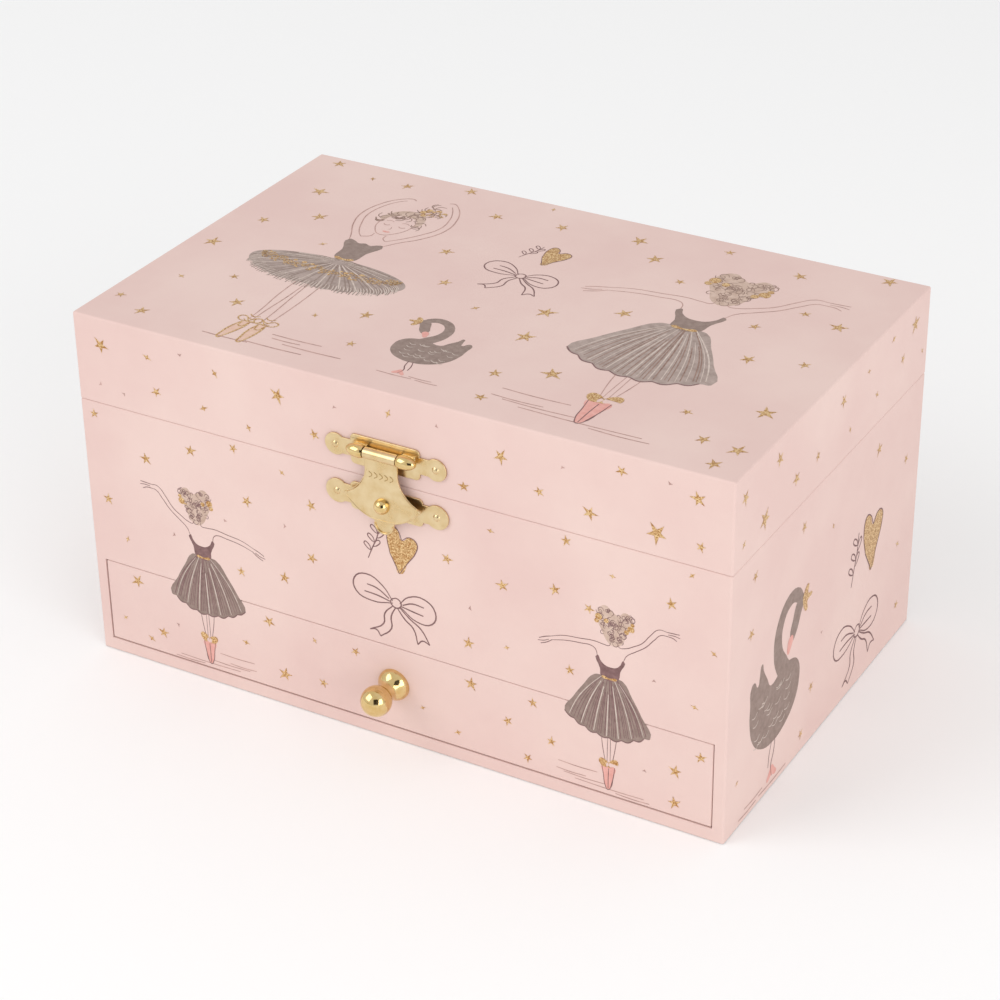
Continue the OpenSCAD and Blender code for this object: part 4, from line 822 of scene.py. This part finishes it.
PICTURES = [(10, 48, 0, 54), (-42, -8, 2, 52)]  # left, right, bottom and top of what a star keeps clear of
sow("left_case_stars", "left", "case", scatter(53, 4, 70, 12.5, PICTURES))
sow("left_lid_stars", "left", "lid", scatter(53, 77, 94, 11.5, []))
HARDWARE = [(-72, -38, 60, 92), (38, 72, 60, 92), (-20, 12, 30, 60), (14, 23, 50, 62), (-25, -16, 28, 62)]
sow("back_case_stars", "back", "case", scatter(86, 4, 70, 12.5, HARDWARE))
sow("back_lid_stars", "back", "lid", scatter(86, 77, 94, 11.5, HARDWARE))
for source in (big_star, small_star, tick_star):
    bpy.data.objects.remove(source)

# ---- Velvet lining ----
# Flocked velvet on thin card, pink, glued to the walls, the lid's ceiling, the partitions,
# the movement's cover and the drawer. Its pile is half a millimetre deep.

# Short upright pile: deep and matt face on, pale where it is seen along the surface, with
# soft brushed patches about 9 mm across. The pile's tufts are drawn 0.35 mm apart.
velvet, shader, place = new_finish("flocked_velvet", Roughness=0.95, Sheen_Weight=0.7, Sheen_Roughness=0.35,
                                   Sheen_Tint=linear("#f7dcda"), Specular_IOR_Level=0.15)
brushed = add(velvet, "ShaderNodeTexNoise", {"Scale": 1 / (9 * MM), "Detail": 3.0, "Distortion": 0.8},
              {"Vector": place})
mottle(velvet, shader, brushed.outputs["Fac"], "#cf9598", "#dba6a8")
pile = add(velvet, "ShaderNodeTexNoise", {"Scale": 1 / (0.35 * MM), "Detail": 2.0}, {"Vector": place})
relief(velvet, shader, pile.outputs["Fac"], 0.12 * MM)
coat(velvet, "case_lining", "tray_partitions", "movement_cover", "lid_lining", "stop_tab", "drawer_walls",
     "drawer_pad")


def pillow(piece, seed, amount):
    """Small soft dents in a padded piece, kept inside its own outline."""
    random.seed(seed)
    dents = []
    for _ in range(5):
        direction = Vector((random.uniform(-1, 1), random.uniform(-1, 1), random.uniform(-1, 1)))
        dents.append((direction, random.uniform(0, 6.28)))
    for vertex in piece.data.vertices:
        wave = sum(math.sin(vertex.co.dot(d) / (7 * MM) + s) for d, s in dents) / 5
        vertex.co -= vertex.normal * amount * MM * (0.5 + 0.5 * wave)


# Two loose pads of foam in the side compartments, velvet pulled over them and glued below
def crown(piece, low, high):
    """Rounds a fine box into a pad: high in the middle, its sides drawn in between corners."""
    for vertex in piece.data.vertices:
        u = (2 * vertex.co.x / MM - low[0] - high[0]) / (high[0] - low[0])
        v = (2 * vertex.co.y / MM - low[1] - high[1]) / (high[1] - low[1])
        h = (vertex.co.z / MM - low[2]) / (high[2] - low[2])
        edge = (1 - abs(u) ** 8) * (1 - abs(v) ** 12)
        vertex.co.z = (low[2] + (high[2] - low[2]) * h * (0.45 + 0.55 * edge)) * MM
        vertex.co.x -= u * (1 - v * v) * 0.6 * MM * (0.4 + 0.6 * h)
        vertex.co.y -= v * (1 - u * u) * 0.6 * MM * (0.4 + 0.6 * h)


for side, name in ((-1, "left_pad"), (1, "right_pad")):
    low, high = (31.5, -52.5, 30.5), (86.0, 52.5, 34.5)
    if side < 0:
        low, high = (-high[0], low[1], low[2]), (-low[0], high[1], high[2])
    pad = box(name, low, high)
    bend(pad, "BEVEL", width=1.2 * MM, segments=3)
    open_up(pad)
    for k in range(1, 18):
        slice_at(1, low[1] + (high[1] - low[1]) * k / 18)
    for k in range(1, 10):
        slice_at(0, low[0] + (high[0] - low[0]) * k / 10)
    shut()
    crown(pad, low, high)
    bend(pad, "SUBSURF", levels=2, render_levels=2)
    pillow(pad, 3 + side, 0.35)
    smooth(pad, 60)
    wear(pad, "case", velvet, ["tray_pads"])

# Three foam rolls in velvet, glued side by side on a covered block: rings stand between them
ring_block = box("ring_block", (-28.6, -52.6, 30.5), (28.6, -19.1, 47.8))
bend(ring_block, "BEVEL", width=0.6 * MM, segments=3)
smooth(ring_block)
wear(ring_block, "case", velvet, ["ring_rolls"])
for i in range(3):
    choose()
    bpy.ops.mesh.primitive_cylinder_add(vertices=40, radius=4.95 * MM, depth=57.2 * MM,
                                        rotation=(0, math.pi / 2, 0),
                                        location=(0, (-53 + (i + 0.5) * 34.33 / 3) * MM, 48.5 * MM))
    bpy.ops.object.transform_apply()
    roll = bpy.context.object
    roll.name = f"ring_roll_{i + 1}"
    bend(roll, "BEVEL", width=1.1 * MM, segments=4, limit_method="ANGLE")
    open_up(roll)
    for k in range(1, 24):
        slice_at(0, -27 + 54 * k / 24)
    shut()
    pillow(roll, i, 0.3)
    smooth(roll, 50)
    wear(roll, "case", velvet, ["ring_rolls"])

# ---- Mirror ----
# Silvered glass, 2 mm thick, glued to the lid's lining, its edge ground to a narrow bevel.
mirror = box("lid_mirror", (-66, -42, 92), (66, 42, 94))
open_up(mirror)
pick("EDGE", lambda m, e: m.z < 92.01)
bpy.ops.mesh.bevel(offset=1.3 * MM, segments=1, affect="EDGES")
shut()

# Silvered float glass: a clean mirror, very slightly green, with the faint haze of dust
silvered, shader, place = new_finish("silvered_glass", Metallic=1.0)
haze = add(silvered, "ShaderNodeTexNoise", {"Scale": 1 / (12 * MM), "Detail": 5.0}, {"Vector": place})
mottle(silvered, shader, haze.outputs["Fac"], "#e9efed", "#eef3f1")
dust = add(silvered, "ShaderNodeMapRange", {"From Min": 0.4, "From Max": 0.8, "To Min": 0.01, "To Max": 0.03},
           {"Value": haze.outputs["Fac"]})
silvered.node_tree.links.new(dust.outputs["Result"], shader.inputs["Roughness"])
wear(mirror, "lid", silvered, ["mirror"])


# ---- Hinges ----
# Two stop hinges stamped from 0.6 mm steel and brass plated, on steel pins, each leaf held
# by three domed nails.
def softened(name, width, segments=2):
    """A copy of a CAD node, its triangles merged into flat faces and its edges rounded."""
    piece = bpy.data.objects.new(name + "_part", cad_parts[name].data.copy())
    bpy.context.collection.objects.link(piece)
    piece.data.name = piece.name
    open_up(piece)
    bpy.ops.mesh.select_all(action="SELECT")
    bpy.ops.mesh.remove_doubles(threshold=0.002 * MM)
    bpy.ops.mesh.dissolve_limited(angle_limit=math.radians(0.6))
    shut()
    bend(piece, "BEVEL", width=width * MM, segments=segments, limit_method="ANGLE",
         angle_limit=math.radians(35))
    smooth(piece)
    return piece


# Thin brass plate over stamped steel: pale gold, bright, with faint wavy stamping marks
gold_plate = noisy_finish("brass_plated_steel", 3, 5.0, "#d8bc8a", "#e6d0a6", depth=0.004,
                          polish=(0.24, 0.33), Metallic=1.0)

# Drawn steel wire and turned screws, zinc plated: cool grey, clouded in patches of 0.8 mm
steel = noisy_finish("zinc_plated_steel", 0.8, 4.0, "#9fa3a8", "#c6c9cc", polish=(0.22, 0.42), Metallic=1.0)

wear(softened("hinge_case_leaves", 0.12), "case", gold_plate, ["hinge_case_leaves"])
wear(softened("hinge_lid_leaves", 0.12), "lid", gold_plate, ["hinge_lid_leaves"])
coat(steel, "hinge_pins")
coat(gold_plate, "case_nails", "lid_nails")

# ---- Latch ----
# A stamped box latch, brass plated: two nailed plates, a bell-shaped hasp that hangs from a
# pin with domed ends, and a thumb tongue held to it by a dome-headed rivet.
for name, body in (("latch_case_plate", "case"), ("latch_lid_plate", "lid"), ("hasp", "hasp"),
                   ("hasp_tongue", "hasp")):
    wear(softened(name, 0.16, 3), body, gold_plate, [name])


def wire(name, lines, radius, resolution=2):
    """Round wires through points in mm, as one closed mesh."""
    curve = bpy.data.curves.new(name, "CURVE")
    curve.dimensions, curve.resolution_u = "3D", 4
    curve.bevel_depth, curve.bevel_resolution, curve.use_fill_caps = MM, resolution, True
    for line in lines:
        spline = curve.splines.new("BEZIER")
        spline.bezier_points.add(len(line) - 1)
        for point, spot in zip(spline.bezier_points, line):
            point.co = Vector(spot[:3]) * MM
            point.handle_left_type = point.handle_right_type = "AUTO"
            point.radius = spot[3] if len(spot) > 3 else radius
    piece = from_curve(name, curve)
    bpy.ops.object.shade_smooth()
    return piece


# A row of small chevrons pressed into the hasp below its curl, its raised rim, and the lip
# that is rolled forward round the tongue
front_y = -59.0  # the hasp's front face
chevrons = [[(x - 0.42, front_y, 76.9), (x + 0.42, front_y, 76.1), (x - 0.42, front_y, 75.3)]
            for x in (-2.9, -1.45, 0, 1.45, 2.9)]

# Brass of the pressed chevrons, a little rougher, its colour darkened as painted shade: the shade that falls
# in pressed grooves, painted on raised wire
groove_shade_brass = noisy_finish("brass_with_painted_groove_shade", 0.6, 3.0, "#a98c5c", "#c4a878", Metallic=1.0, Roughness=0.5)
wear(wire("hasp_chevrons", chevrons, 0.1), "hasp", groove_shade_brass)
rim = [(-4.0, front_y, 77.2), (-4.5, front_y, 75.6), (-5.9, front_y, 73.2), (-8.0, front_y, 71.0),
       (-9.8, front_y, 69.6), (-8.2, front_y, 67.0), (-5.0, front_y, 65.0), (0, front_y, 64.2),
       (5.0, front_y, 65.0), (8.2, front_y, 67.0), (9.8, front_y, 69.6), (8.0, front_y, 71.0),
       (5.9, front_y, 73.2), (4.5, front_y, 75.6), (4.0, front_y, 77.2)]
lip = [(2.5 * math.sin(a), -58.5, 62.95 - 2.5 * math.cos(a))
       for a in (-1.5, -1.2, -0.8, -0.4, 0, 0.4, 0.8, 1.2, 1.5)]
wear(wire("hasp_rim", [rim], 0.1), "hasp", gold_plate)
wear(wire("tongue_lip", [lip], 0.24), "hasp", gold_plate)


def turned(name, profile, at, towards, steps=64):
    """A turned piece: profile is (height, radius) in mm along the direction it points in."""
    curve = bpy.data.curves.new(name, "CURVE")
    curve.dimensions = "3D"
    spline = curve.splines.new("POLY")
    spline.points.add(len(profile) - 1)
    for point, (height, radius) in zip(spline.points, profile):
        point.co = (radius * MM, 0, height * MM, 1)
    piece = from_curve(name, curve)
    bend(piece, "SCREW", steps=steps, render_steps=steps, use_merge_vertices=True, merge_threshold=0.001 * MM)
    open_up(piece)
    bpy.ops.mesh.select_all(action="SELECT")
    bpy.ops.mesh.remove_doubles(threshold=0.001 * MM)
    bpy.ops.mesh.normals_make_consistent(inside=False)
    shut()
    tilt = Vector(towards).to_track_quat("Z", "Y").to_matrix().to_4x4()
    piece.data.transform(Matrix.Translation(Vector(at) * MM) @ tilt)
    bpy.ops.object.shade_smooth_by_angle(angle=math.radians(40))
    return piece


def arc(centre, radius, start, stop, count=12):
    """Points of a round profile between two angles from its top, in degrees."""
    return [(centre + radius * math.cos(math.radians(start + (stop - start) * i / count)),
             max(0.0, radius * math.sin(math.radians(start + (stop - start) * i / count))))
            for i in range(count + 1)]


# Polished brass: deep yellow, mirror bright, with the soft clouds that a buffing mop leaves
bright_gold = noisy_finish("polished_brass", 1.5, 4.0, "#d8b878", "#e6cc96", polish=(0.06, 0.16),
                           Metallic=1.0)

rivet = turned("hasp_rivet_head", [(0, 0)] + arc(0, 2.0, 90, 0, 16), (0, front_y, 68.2), (0, -1, 0), 40)
wear(rivet, "hasp", bright_gold, ["hasp_rivet"])
cap = [(4.72, 1.4), (5.0, 1.58), (5.7, 1.7), (6.6, 1.72), (7.5, 1.62), (8.3, 1.36), (8.9, 1.02), (9.35, 0.6),
       (9.6, 0)]
pin = [(-h, r) for h, r in cap[::-1]] + [(-4.72, 0.7), (4.72, 0.7)] + cap
wear(turned("latch_pin_and_caps", pin, (0, -58.7, 81.5), (1, 0, 0), 40), "lid", bright_gold,
     ["latch_pin"])

# ---- Drawer knob ----
# Turned from brass and polished: a domed flange, a narrow neck and a ball, held by a screw
# from inside the drawer front.
knob_profile = ([(0, 0), (0, 4.3), (0.45, 4.3), (0.8, 4.22), (1.3, 3.98), (1.8, 3.62), (2.3, 3.15),
                 (2.8, 2.68), (3.3, 2.35), (3.9, 2.16), (4.5, 2.1), (4.95, 2.12)]
                + arc(8.45, 3.95, 147.5, 0, 28))
wear(turned("drawer_knob", knob_profile, (0, -half_d, 16.4), (0, -1, 0), 72), "drawer", bright_gold,
     ["knob"])
wear(softened("knob_screw", 0.15), "drawer", steel, ["knob_screw"])

# ---- Movement ----
# An 18-note wind-up movement hung on the back wall: a die-cast frame, a brass cylinder with
# pins, a steel comb, a spring barrel on the winding arbor, and a governor with a fly.
# Cast zinc: dull blue-grey with a fine grainy skin about 0.5 mm across
zinc = noisy_finish("die_cast_zinc", 0.5, 5.0, "#8d9196", "#adb1b4", depth=0.03, Metallic=0.9, Roughness=0.48)

# Machined brass: yellow and satin, its fine tool marks drawn 0.4 mm across
brass = noisy_finish("machined_brass", 0.4, 3.0, "#b8934a", "#d8b76c", polish=(0.25, 0.42), Metallic=1.0)

# Moulded nylon: milky white, a little waxy, with faint flow marks
nylon = noisy_finish("moulded_nylon", 4, 3.0, "#e6e0d2", "#f3efe5", depth=0.02, Roughness=0.42,
                     Subsurface_Weight=0.15, Subsurface_Scale=0.8 * MM)

for name, body, finish, slot, edge, steps in (
    ("movement_frame", "case", zinc, "zinc", 0.25, 3), ("bridge", "case", brass, "brass", 0.12, 2),
    ("fly_bracket", "case", brass, "brass", 0.12, 2), ("mounting_screws", "case", steel, "steel", 0.18, 2),
    ("movement_screws", "case", steel, "steel", 0.12, 2), ("ratchet_wheel", "key", brass, "brass", 0.06, 2),
    ("winding_key", "key", gold_plate, "gold_plate", 0.32, 3),
    ("cover_bush", "case", brass, "brass", 0.12, 2), ("transfer_gear", "cylinder", nylon, "nylon", 0.12, 2),
    ("turntable_gear", "turntable", nylon, "nylon", 0.12, 2),
):
    wear(softened(name, edge, steps), body, finish, [name])
coat(steel, "comb", "click_spring", "mainspring", "winding_arbor", "fly", "stop_rod")
coat(brass, "spring_barrel", "pin_cylinder", "cylinder_pinion", "governor_wheel")

# ---- Turntable and dancer ----
# A pearly disc on the turntable's shaft, and a small moulded and painted figure on a coil
# spring, which folds forward under the closing lid. She is built upright, then folded.
AXIS_Y = 3.6296  # the turntable's shaft
PIVOT = Vector((0, AXIS_Y, 68.2)) * MM  # the middle of the spring
FOLD = math.radians(75)
folded = Matrix.Translation(PIVOT) @ Matrix.Rotation(FOLD, 4, "X")

# Pearl pink styrene: glossy, with a soft pearl bloom
pearl = noisy_finish("pearl_styrene", 6, 3.0, "#efc4c6", "#f8dedd", noise={"Distortion": 1.0}, Roughness=0.25,
                     Coat_Weight=0.5, Coat_Roughness=0.1)
disc = turned("turntable_disc",
              [(-9.0, 0), (-9.0, 1.5), (0, 1.5), (0, 12.4), (0.2, 12.85), (0.7, 13.0), (1.2, 12.8),
               (1.4, 12.4), (1.4, 11.0), (1.2, 10.7), (1.2, 10.3), (1.4, 10.0), (1.4, 3.2), (1.4, 0)],
              (0, AXIS_Y, 62.8), (0, 0, 1), 96)
wear(disc, "turntable", pearl, ["turntable"])

# The spring: nine turns of 0.5 mm wire from the disc to her shoe
COIL_R, TURNS, STEPS = 1.4, 9, 12
start = PIVOT + Vector((0, 0, -3.6)) * MM
end = PIVOT + Matrix.Rotation(FOLD, 3, "X") @ Vector((0, 0, 3.6)) * MM
helix = [(COIL_R * math.cos(2 * math.pi * k / STEPS), COIL_R * math.sin(2 * math.pi * k / STEPS),
          -3.75 + 7.6 * k / (TURNS * STEPS)) for k in range(TURNS * STEPS + 1)]
spring = wire("dancer_coil", [helix], 0.25)


def curl(point, t):
    """A point of the upright coil, turned as far as the fold has come at a share t of its length."""
    return PIVOT + Matrix.Rotation(FOLD * t * t * (3 - 2 * t), 3, "X") @ point


along = end - start
for vertex in spring.data.vertices:
    at_rest, low, high = vertex.co.copy(), 0.0, 1.0
    for _ in range(30):  # the place on the bent spring that unbends to this place upright
        t = (low + high) / 2
        if (curl(at_rest, t) - start).dot(along) / along.length_squared > t:
            low = t
        else:
            high = t
    vertex.co = curl(at_rest, low)
spring.data.materials.append(steel)
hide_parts("dancer_spring")
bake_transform(spring)


def merged(name, pieces, voxel, smoothing):
    """Joins overlapping pieces into one smooth moulding."""
    choose(*pieces)
    bpy.ops.object.join()
    piece = bpy.context.object
    piece.name = name
    bend(piece, "REMESH", mode="VOXEL", voxel_size=voxel * MM)
    bend(piece, "SMOOTH", factor=0.5, iterations=smoothing)
    bpy.ops.object.shade_smooth()
    return piece


def ball(centre, radius, scale=(1, 1, 1)):
    """A ball in mm, stretched by a scale."""
    choose()
    bpy.ops.mesh.primitive_uv_sphere_add(segments=32, ring_count=20, radius=radius * MM,
                                         location=Vector(centre) * MM, scale=scale)
    bpy.ops.object.transform_apply()
    return bpy.context.object


def place_folded(piece, finish, replaces=()):
    """Folds a piece of the dancer down, finishes it and sets it on her."""
    piece.data.transform(folded)
    return wear(piece, "dancer", finish, replaces)


# Painted skin: warm, matt, slightly blushed
skin = noisy_finish("painted_figure_skin", 3, 3.0, "#e8b596", "#f2c9ae", Roughness=0.5, Subsurface_Weight=0.1,
                    Subsurface_Scale=0.6 * MM)

# Gloss paint of her bodice and shoes: wet looking, a little uneven from the brush
gloss_pink = noisy_finish("gloss_paint_pink", 1.2, 3.0, "#dd8f97", "#eaa9ae", Roughness=0.28, Coat_Weight=0.4)

# Brown paint of her hair, combed back in strands 0.8 mm apart
hair_paint = noisy_finish("painted_hair", 0.8, 4.0, "#4a2f22", "#76503a", depth=0.1,
                          noise={"Distortion": 1.5}, Roughness=0.45)

limbs = [
    [(0, 0, 4.0, 1.15), (0, 0, 6.0, 1.1)],
    [(0, 0, 4.5, 0.6), (0.1, 0, 7.4, 0.75), (0.5, 0.2, 11.8, 1.15), (0.7, 0, 15.4, 0.95), (0.9, 0, 20.4, 1.5),
     (0.95, 0, 25.2, 1.7)],
    [(-0.5, 0.3, 6.0, 0.5), (-0.7, 0.3, 8.8, 0.72), (-0.95, 0.3, 12.8, 1.1), (-1.0, 0, 16.4, 0.92),
     (-1.0, 0, 21, 1.45), (-0.95, 0, 25.2, 1.65)],
    [(0, 0, 24.4, 2.2), (0, 0, 26.6, 1.7), (0, -0.1, 30, 2.0), (0, -0.1, 32.6, 2.25), (0, 0, 34.3, 1.7),
     (0, 0, 35.4, 1.0), (0, 0, 38.6, 0.85)],
]
for side in (-1, 1):
    limbs.append([(0, 0, 34.3, 0.9), (2.2 * side, 0, 34.5, 0.9), (4.0 * side, -0.1, 38.2, 0.72),
                  (5.1 * side, -0.2, 40.9, 0.58), (4.1 * side, -0.2, 43.6, 0.55),
                  (2.5 * side, -0.2, 45.8, 0.42), (1.2 * side, -0.1, 46.9, 0.38),
                  (0.6 * side, -0.1, 47.1, 0.22)])
moulding = [wire("limbs", limbs, 1.0, 4), ball((0, 0, 39.8), 2.35, (0.9, 0.98, 1.12)),
            ball((0, -2.28, 39.3), 0.3, (0.9, 1, 1.3)), ball((0, -1.0, 37.9), 1.0, (1, 1, 0.8))]
figure = merged("dancer_figure", moulding, 0.16, 5)
place_folded(figure, skin, ["dancer"])

# Painted features: closed eyes, brows and lips, drawn on the front of the head
def on_face(x, z):
    """A point on the head's front at a width and height from its centre."""
    y = -2.34 * math.sqrt(max(0.05, 1 - (x / 2.12) ** 2 - (z / 2.64) ** 2))
    return (x, y, 39.8 + z)


lashes = [[on_face(s * 0.42, -0.02), on_face(s * 0.8, -0.2), on_face(s * 1.2, -0.0)] for s in (-1, 1)]
brows = [[on_face(s * 0.4, 0.5), on_face(s * 0.85, 0.66), on_face(s * 1.25, 0.48)] for s in (-1, 1)]
place_folded(wire("dancer_lashes", lashes + brows, 0.07, 1), hair_paint)
place_folded(wire("dancer_lips",
                  [[on_face(-0.4, -1.22), on_face(-0.14, -1.14), on_face(0, -1.18), on_face(0.14, -1.14),
                    on_face(0.4, -1.22)]], 0.1, 1), gloss_pink)

# Hair drawn back into a bun, with a gold band
hair = ball((0, 0.12, 39.95), 2.42, (0.93, 1.0, 1.12))
open_up(hair)
bpy.ops.mesh.select_all(action="SELECT")
bpy.ops.mesh.bisect(plane_co=Vector((0, -1.35, 41.3)) * MM, plane_no=(0, -0.86, -0.5), clear_outer=True,
                    use_fill=True)
shut()
bun = ball((0, 1.3, 42.2), 1.15, (1.05, 1, 0.95))
place_folded(merged("dancer_hair", [hair, bun], 0.14, 4), hair_paint)
band = []
for k in range(17):
    a = 2 * math.pi * k / 16
    y = 1.0 + 0.1 * math.sin(a) + 0.55 - 0.45 + 0.5 * math.sin(a)
    band.append((0.98 * math.cos(a) * 1.05, y, 41.55 + 0.75 * math.sin(a)))
place_folded(wire("dancer_hair_band", [band], 0.16), bright_gold)

# Bodice with thin straps, and her shoes with their ribbons
bodice = wire("bodice",
              [[(0, 0, 26.2, 1.95), (0, -0.05, 28.2, 1.98), (0, -0.1, 30.4, 2.17), (0, -0.12, 32.2, 2.38),
                (0, -0.1, 33.3, 2.25)],
               [(-1.4, -1.5, 32.8, 0.2), (-1.5, -1.0, 34.6, 0.2), (-1.4, 0.3, 35.2, 0.2),
                (-1.3, 1.5, 33.4, 0.2)],
               [(1.4, -1.5, 32.8, 0.2), (1.5, -1.0, 34.6, 0.2), (1.4, 0.3, 35.2, 0.2),
                (1.3, 1.5, 33.4, 0.2)]], 1, 4)
place_folded(bodice, gloss_pink)
shoes = wire("shoes", [[(0, 0, 3.95, 1.2), (0, 0, 5.4, 1.24), (0.03, 0, 6.3, 0.95), (0.1, 0, 7.3, 0.88)],
                       [(-0.5, 0.3, 5.9, 0.6), (-0.6, 0.3, 7.2, 0.76), (-0.7, 0.3, 8.6, 0.84)]], 1, 3)
place_folded(shoes, gloss_pink)
laces = []
for x, y, z, r in ((0.2, 0.05, 8.0, 0.88), (-0.75, 0.3, 9.4, 0.9)):
    laces.append([(x + (r + 0.05 * k / 18) * math.cos(k), y + (r + 0.05 * k / 18) * math.sin(k), z + 0.14 * k)
                  for k in range(19)])
place_folded(wire("dancer_ribbons", laces, 0.12, 1), gloss_pink)

# Tutu: three rounds of stiff net, gathered at the waist so that they stand out and ripple.
# Net of nylon thread, drawn as cloth that lets a third of the light through
tulle, shader, place = new_finish("stiff_tulle", Roughness=0.6, Alpha=0.7, Sheen_Weight=0.4)
net = add(tulle, "ShaderNodeTexVoronoi", {"Scale": 1 / (0.7 * MM)}, {"Vector": place},
          feature="DISTANCE_TO_EDGE")
mottle(tulle, shader, net.outputs["Distance"], "#fbeceb", "#f1cdd0", 0.02, 0.12)
WAIST, WAIST_Z, RINGS = 2.1, 26.6, 8  # radius and height of the waist, and rings of faces out to the hem
for layer, (reach, level, folds) in enumerate(((10.3, 0.15, 19), (9.7, -0.4, 23), (9.0, -0.95, 17))):
    choose()
    bpy.ops.mesh.primitive_circle_add(vertices=192, radius=WAIST * MM, fill_type="NOTHING")
    net_piece = bpy.context.object
    net_piece.name = f"tutu_layer_{layer + 1}"
    bpy.ops.object.mode_set(mode="EDIT")
    bpy.ops.mesh.select_all(action="SELECT")
    for ring in range(RINGS):
        grow = (WAIST + (reach - WAIST) * (ring + 1) / RINGS) / (WAIST + (reach - WAIST) * ring / RINGS)
        bpy.ops.mesh.extrude_region_move()
        bpy.ops.transform.resize(value=(grow, grow, 1), center_override=(0, 0, 0))
    shut()
    for vertex in net_piece.data.vertices:
        r, a = math.hypot(vertex.co.x, vertex.co.y) / MM, math.atan2(vertex.co.y, vertex.co.x)
        out = max(0.0, (r - WAIST) / (reach - WAIST))
        ripple = 0.42 * math.sin(folds * a + layer) + 0.16 * math.sin((folds * 2 + 3) * a)
        vertex.co.z = (WAIST_Z + level + ripple * out ** 1.4 + 0.5 * out * (1 - out)) * MM
        stretch = 1 + 0.012 * math.sin(folds * 3 * a) * out
        vertex.co.x, vertex.co.y = vertex.co.x * stretch, vertex.co.y * stretch
    bend(net_piece, "SOLIDIFY", thickness=0.05 * MM, offset=0)
    bpy.ops.object.shade_smooth()
    place_folded(net_piece, tulle, ["tutu"])

# ---- Studio ----
# A pale seamless floor under wide soft light, and the camera in front and to the right.
floor_paper = new_finish("studio_floor", Base_Color=linear("#fafafa"), Roughness=0.9)[0]
choose()
bpy.ops.mesh.primitive_plane_add(size=24, location=(0, 0, -0.0002))
floor = bpy.context.object
floor.name = "studio_floor"
floor.data.materials.append(floor_paper)

world = bpy.data.worlds.new("studio_air")
bpy.context.scene.world = world
bpy.context.scene.view_settings.view_transform = "Standard"
world.use_nodes = True
world.node_tree.nodes["Background"].inputs["Color"].default_value = (1, 1, 1, 1)
world.node_tree.nodes["Background"].inputs["Strength"].default_value = 0.8


def softbox(name, place, aim, size, power):
    """A square soft light in metres and watts, pointed at a place."""
    light = bpy.data.lights.new(name, "AREA")
    light.shape, light.size, light.energy = "SQUARE", size, power
    lamp = bpy.data.objects.new(name, light)
    bpy.context.collection.objects.link(lamp)
    lamp.location = place
    lamp.rotation_euler = (Vector(place) - Vector(aim)).to_track_quat("Z", "Y").to_euler()


# A dark card behind the camera, which only the polished metal shows
dark_card = new_finish("black_card", Base_Color=linear("#2b2522"), Roughness=0.9)[0]
choose()
bpy.ops.mesh.primitive_plane_add(size=0.8, location=(0.55, -0.95, 0.5),
                                 rotation=(math.radians(65), 0, math.radians(30)))
card = bpy.context.object
card.name = "flag_card"
card.data.materials.append(dark_card)
card.visible_camera = card.visible_diffuse = card.visible_shadow = False

softbox("key_light", (-0.75, -0.85, 0.85), (0, 0, 0.04), 0.9, 4.7)
softbox("fill_light", (1.0, -0.6, 0.45), (0, 0, 0.04), 0.8, 4.4)

# The camera: how far it is turned and raised, its distance, what it looks at and its small roll
turn, rise, distance = math.radians(30), math.radians(29.89), 0.707
aim, roll = Vector((-0.00189, 0, 0.03958)), math.radians(-0.77)
back = Vector((math.sin(turn) * math.cos(rise), -math.cos(turn) * math.cos(rise), math.sin(rise)))
lens = bpy.data.cameras.new("camera")
lens.lens, lens.sensor_width = 98.85, 36
camera = bpy.data.objects.new("camera", lens)
bpy.context.collection.objects.link(camera)
camera.matrix_world = (Matrix.Translation(aim + back * distance)
                       @ back.to_track_quat("Z", "Y").to_matrix().to_4x4() @ Matrix.Rotation(roll, 4, "Z"))
bpy.context.scene.camera = camera
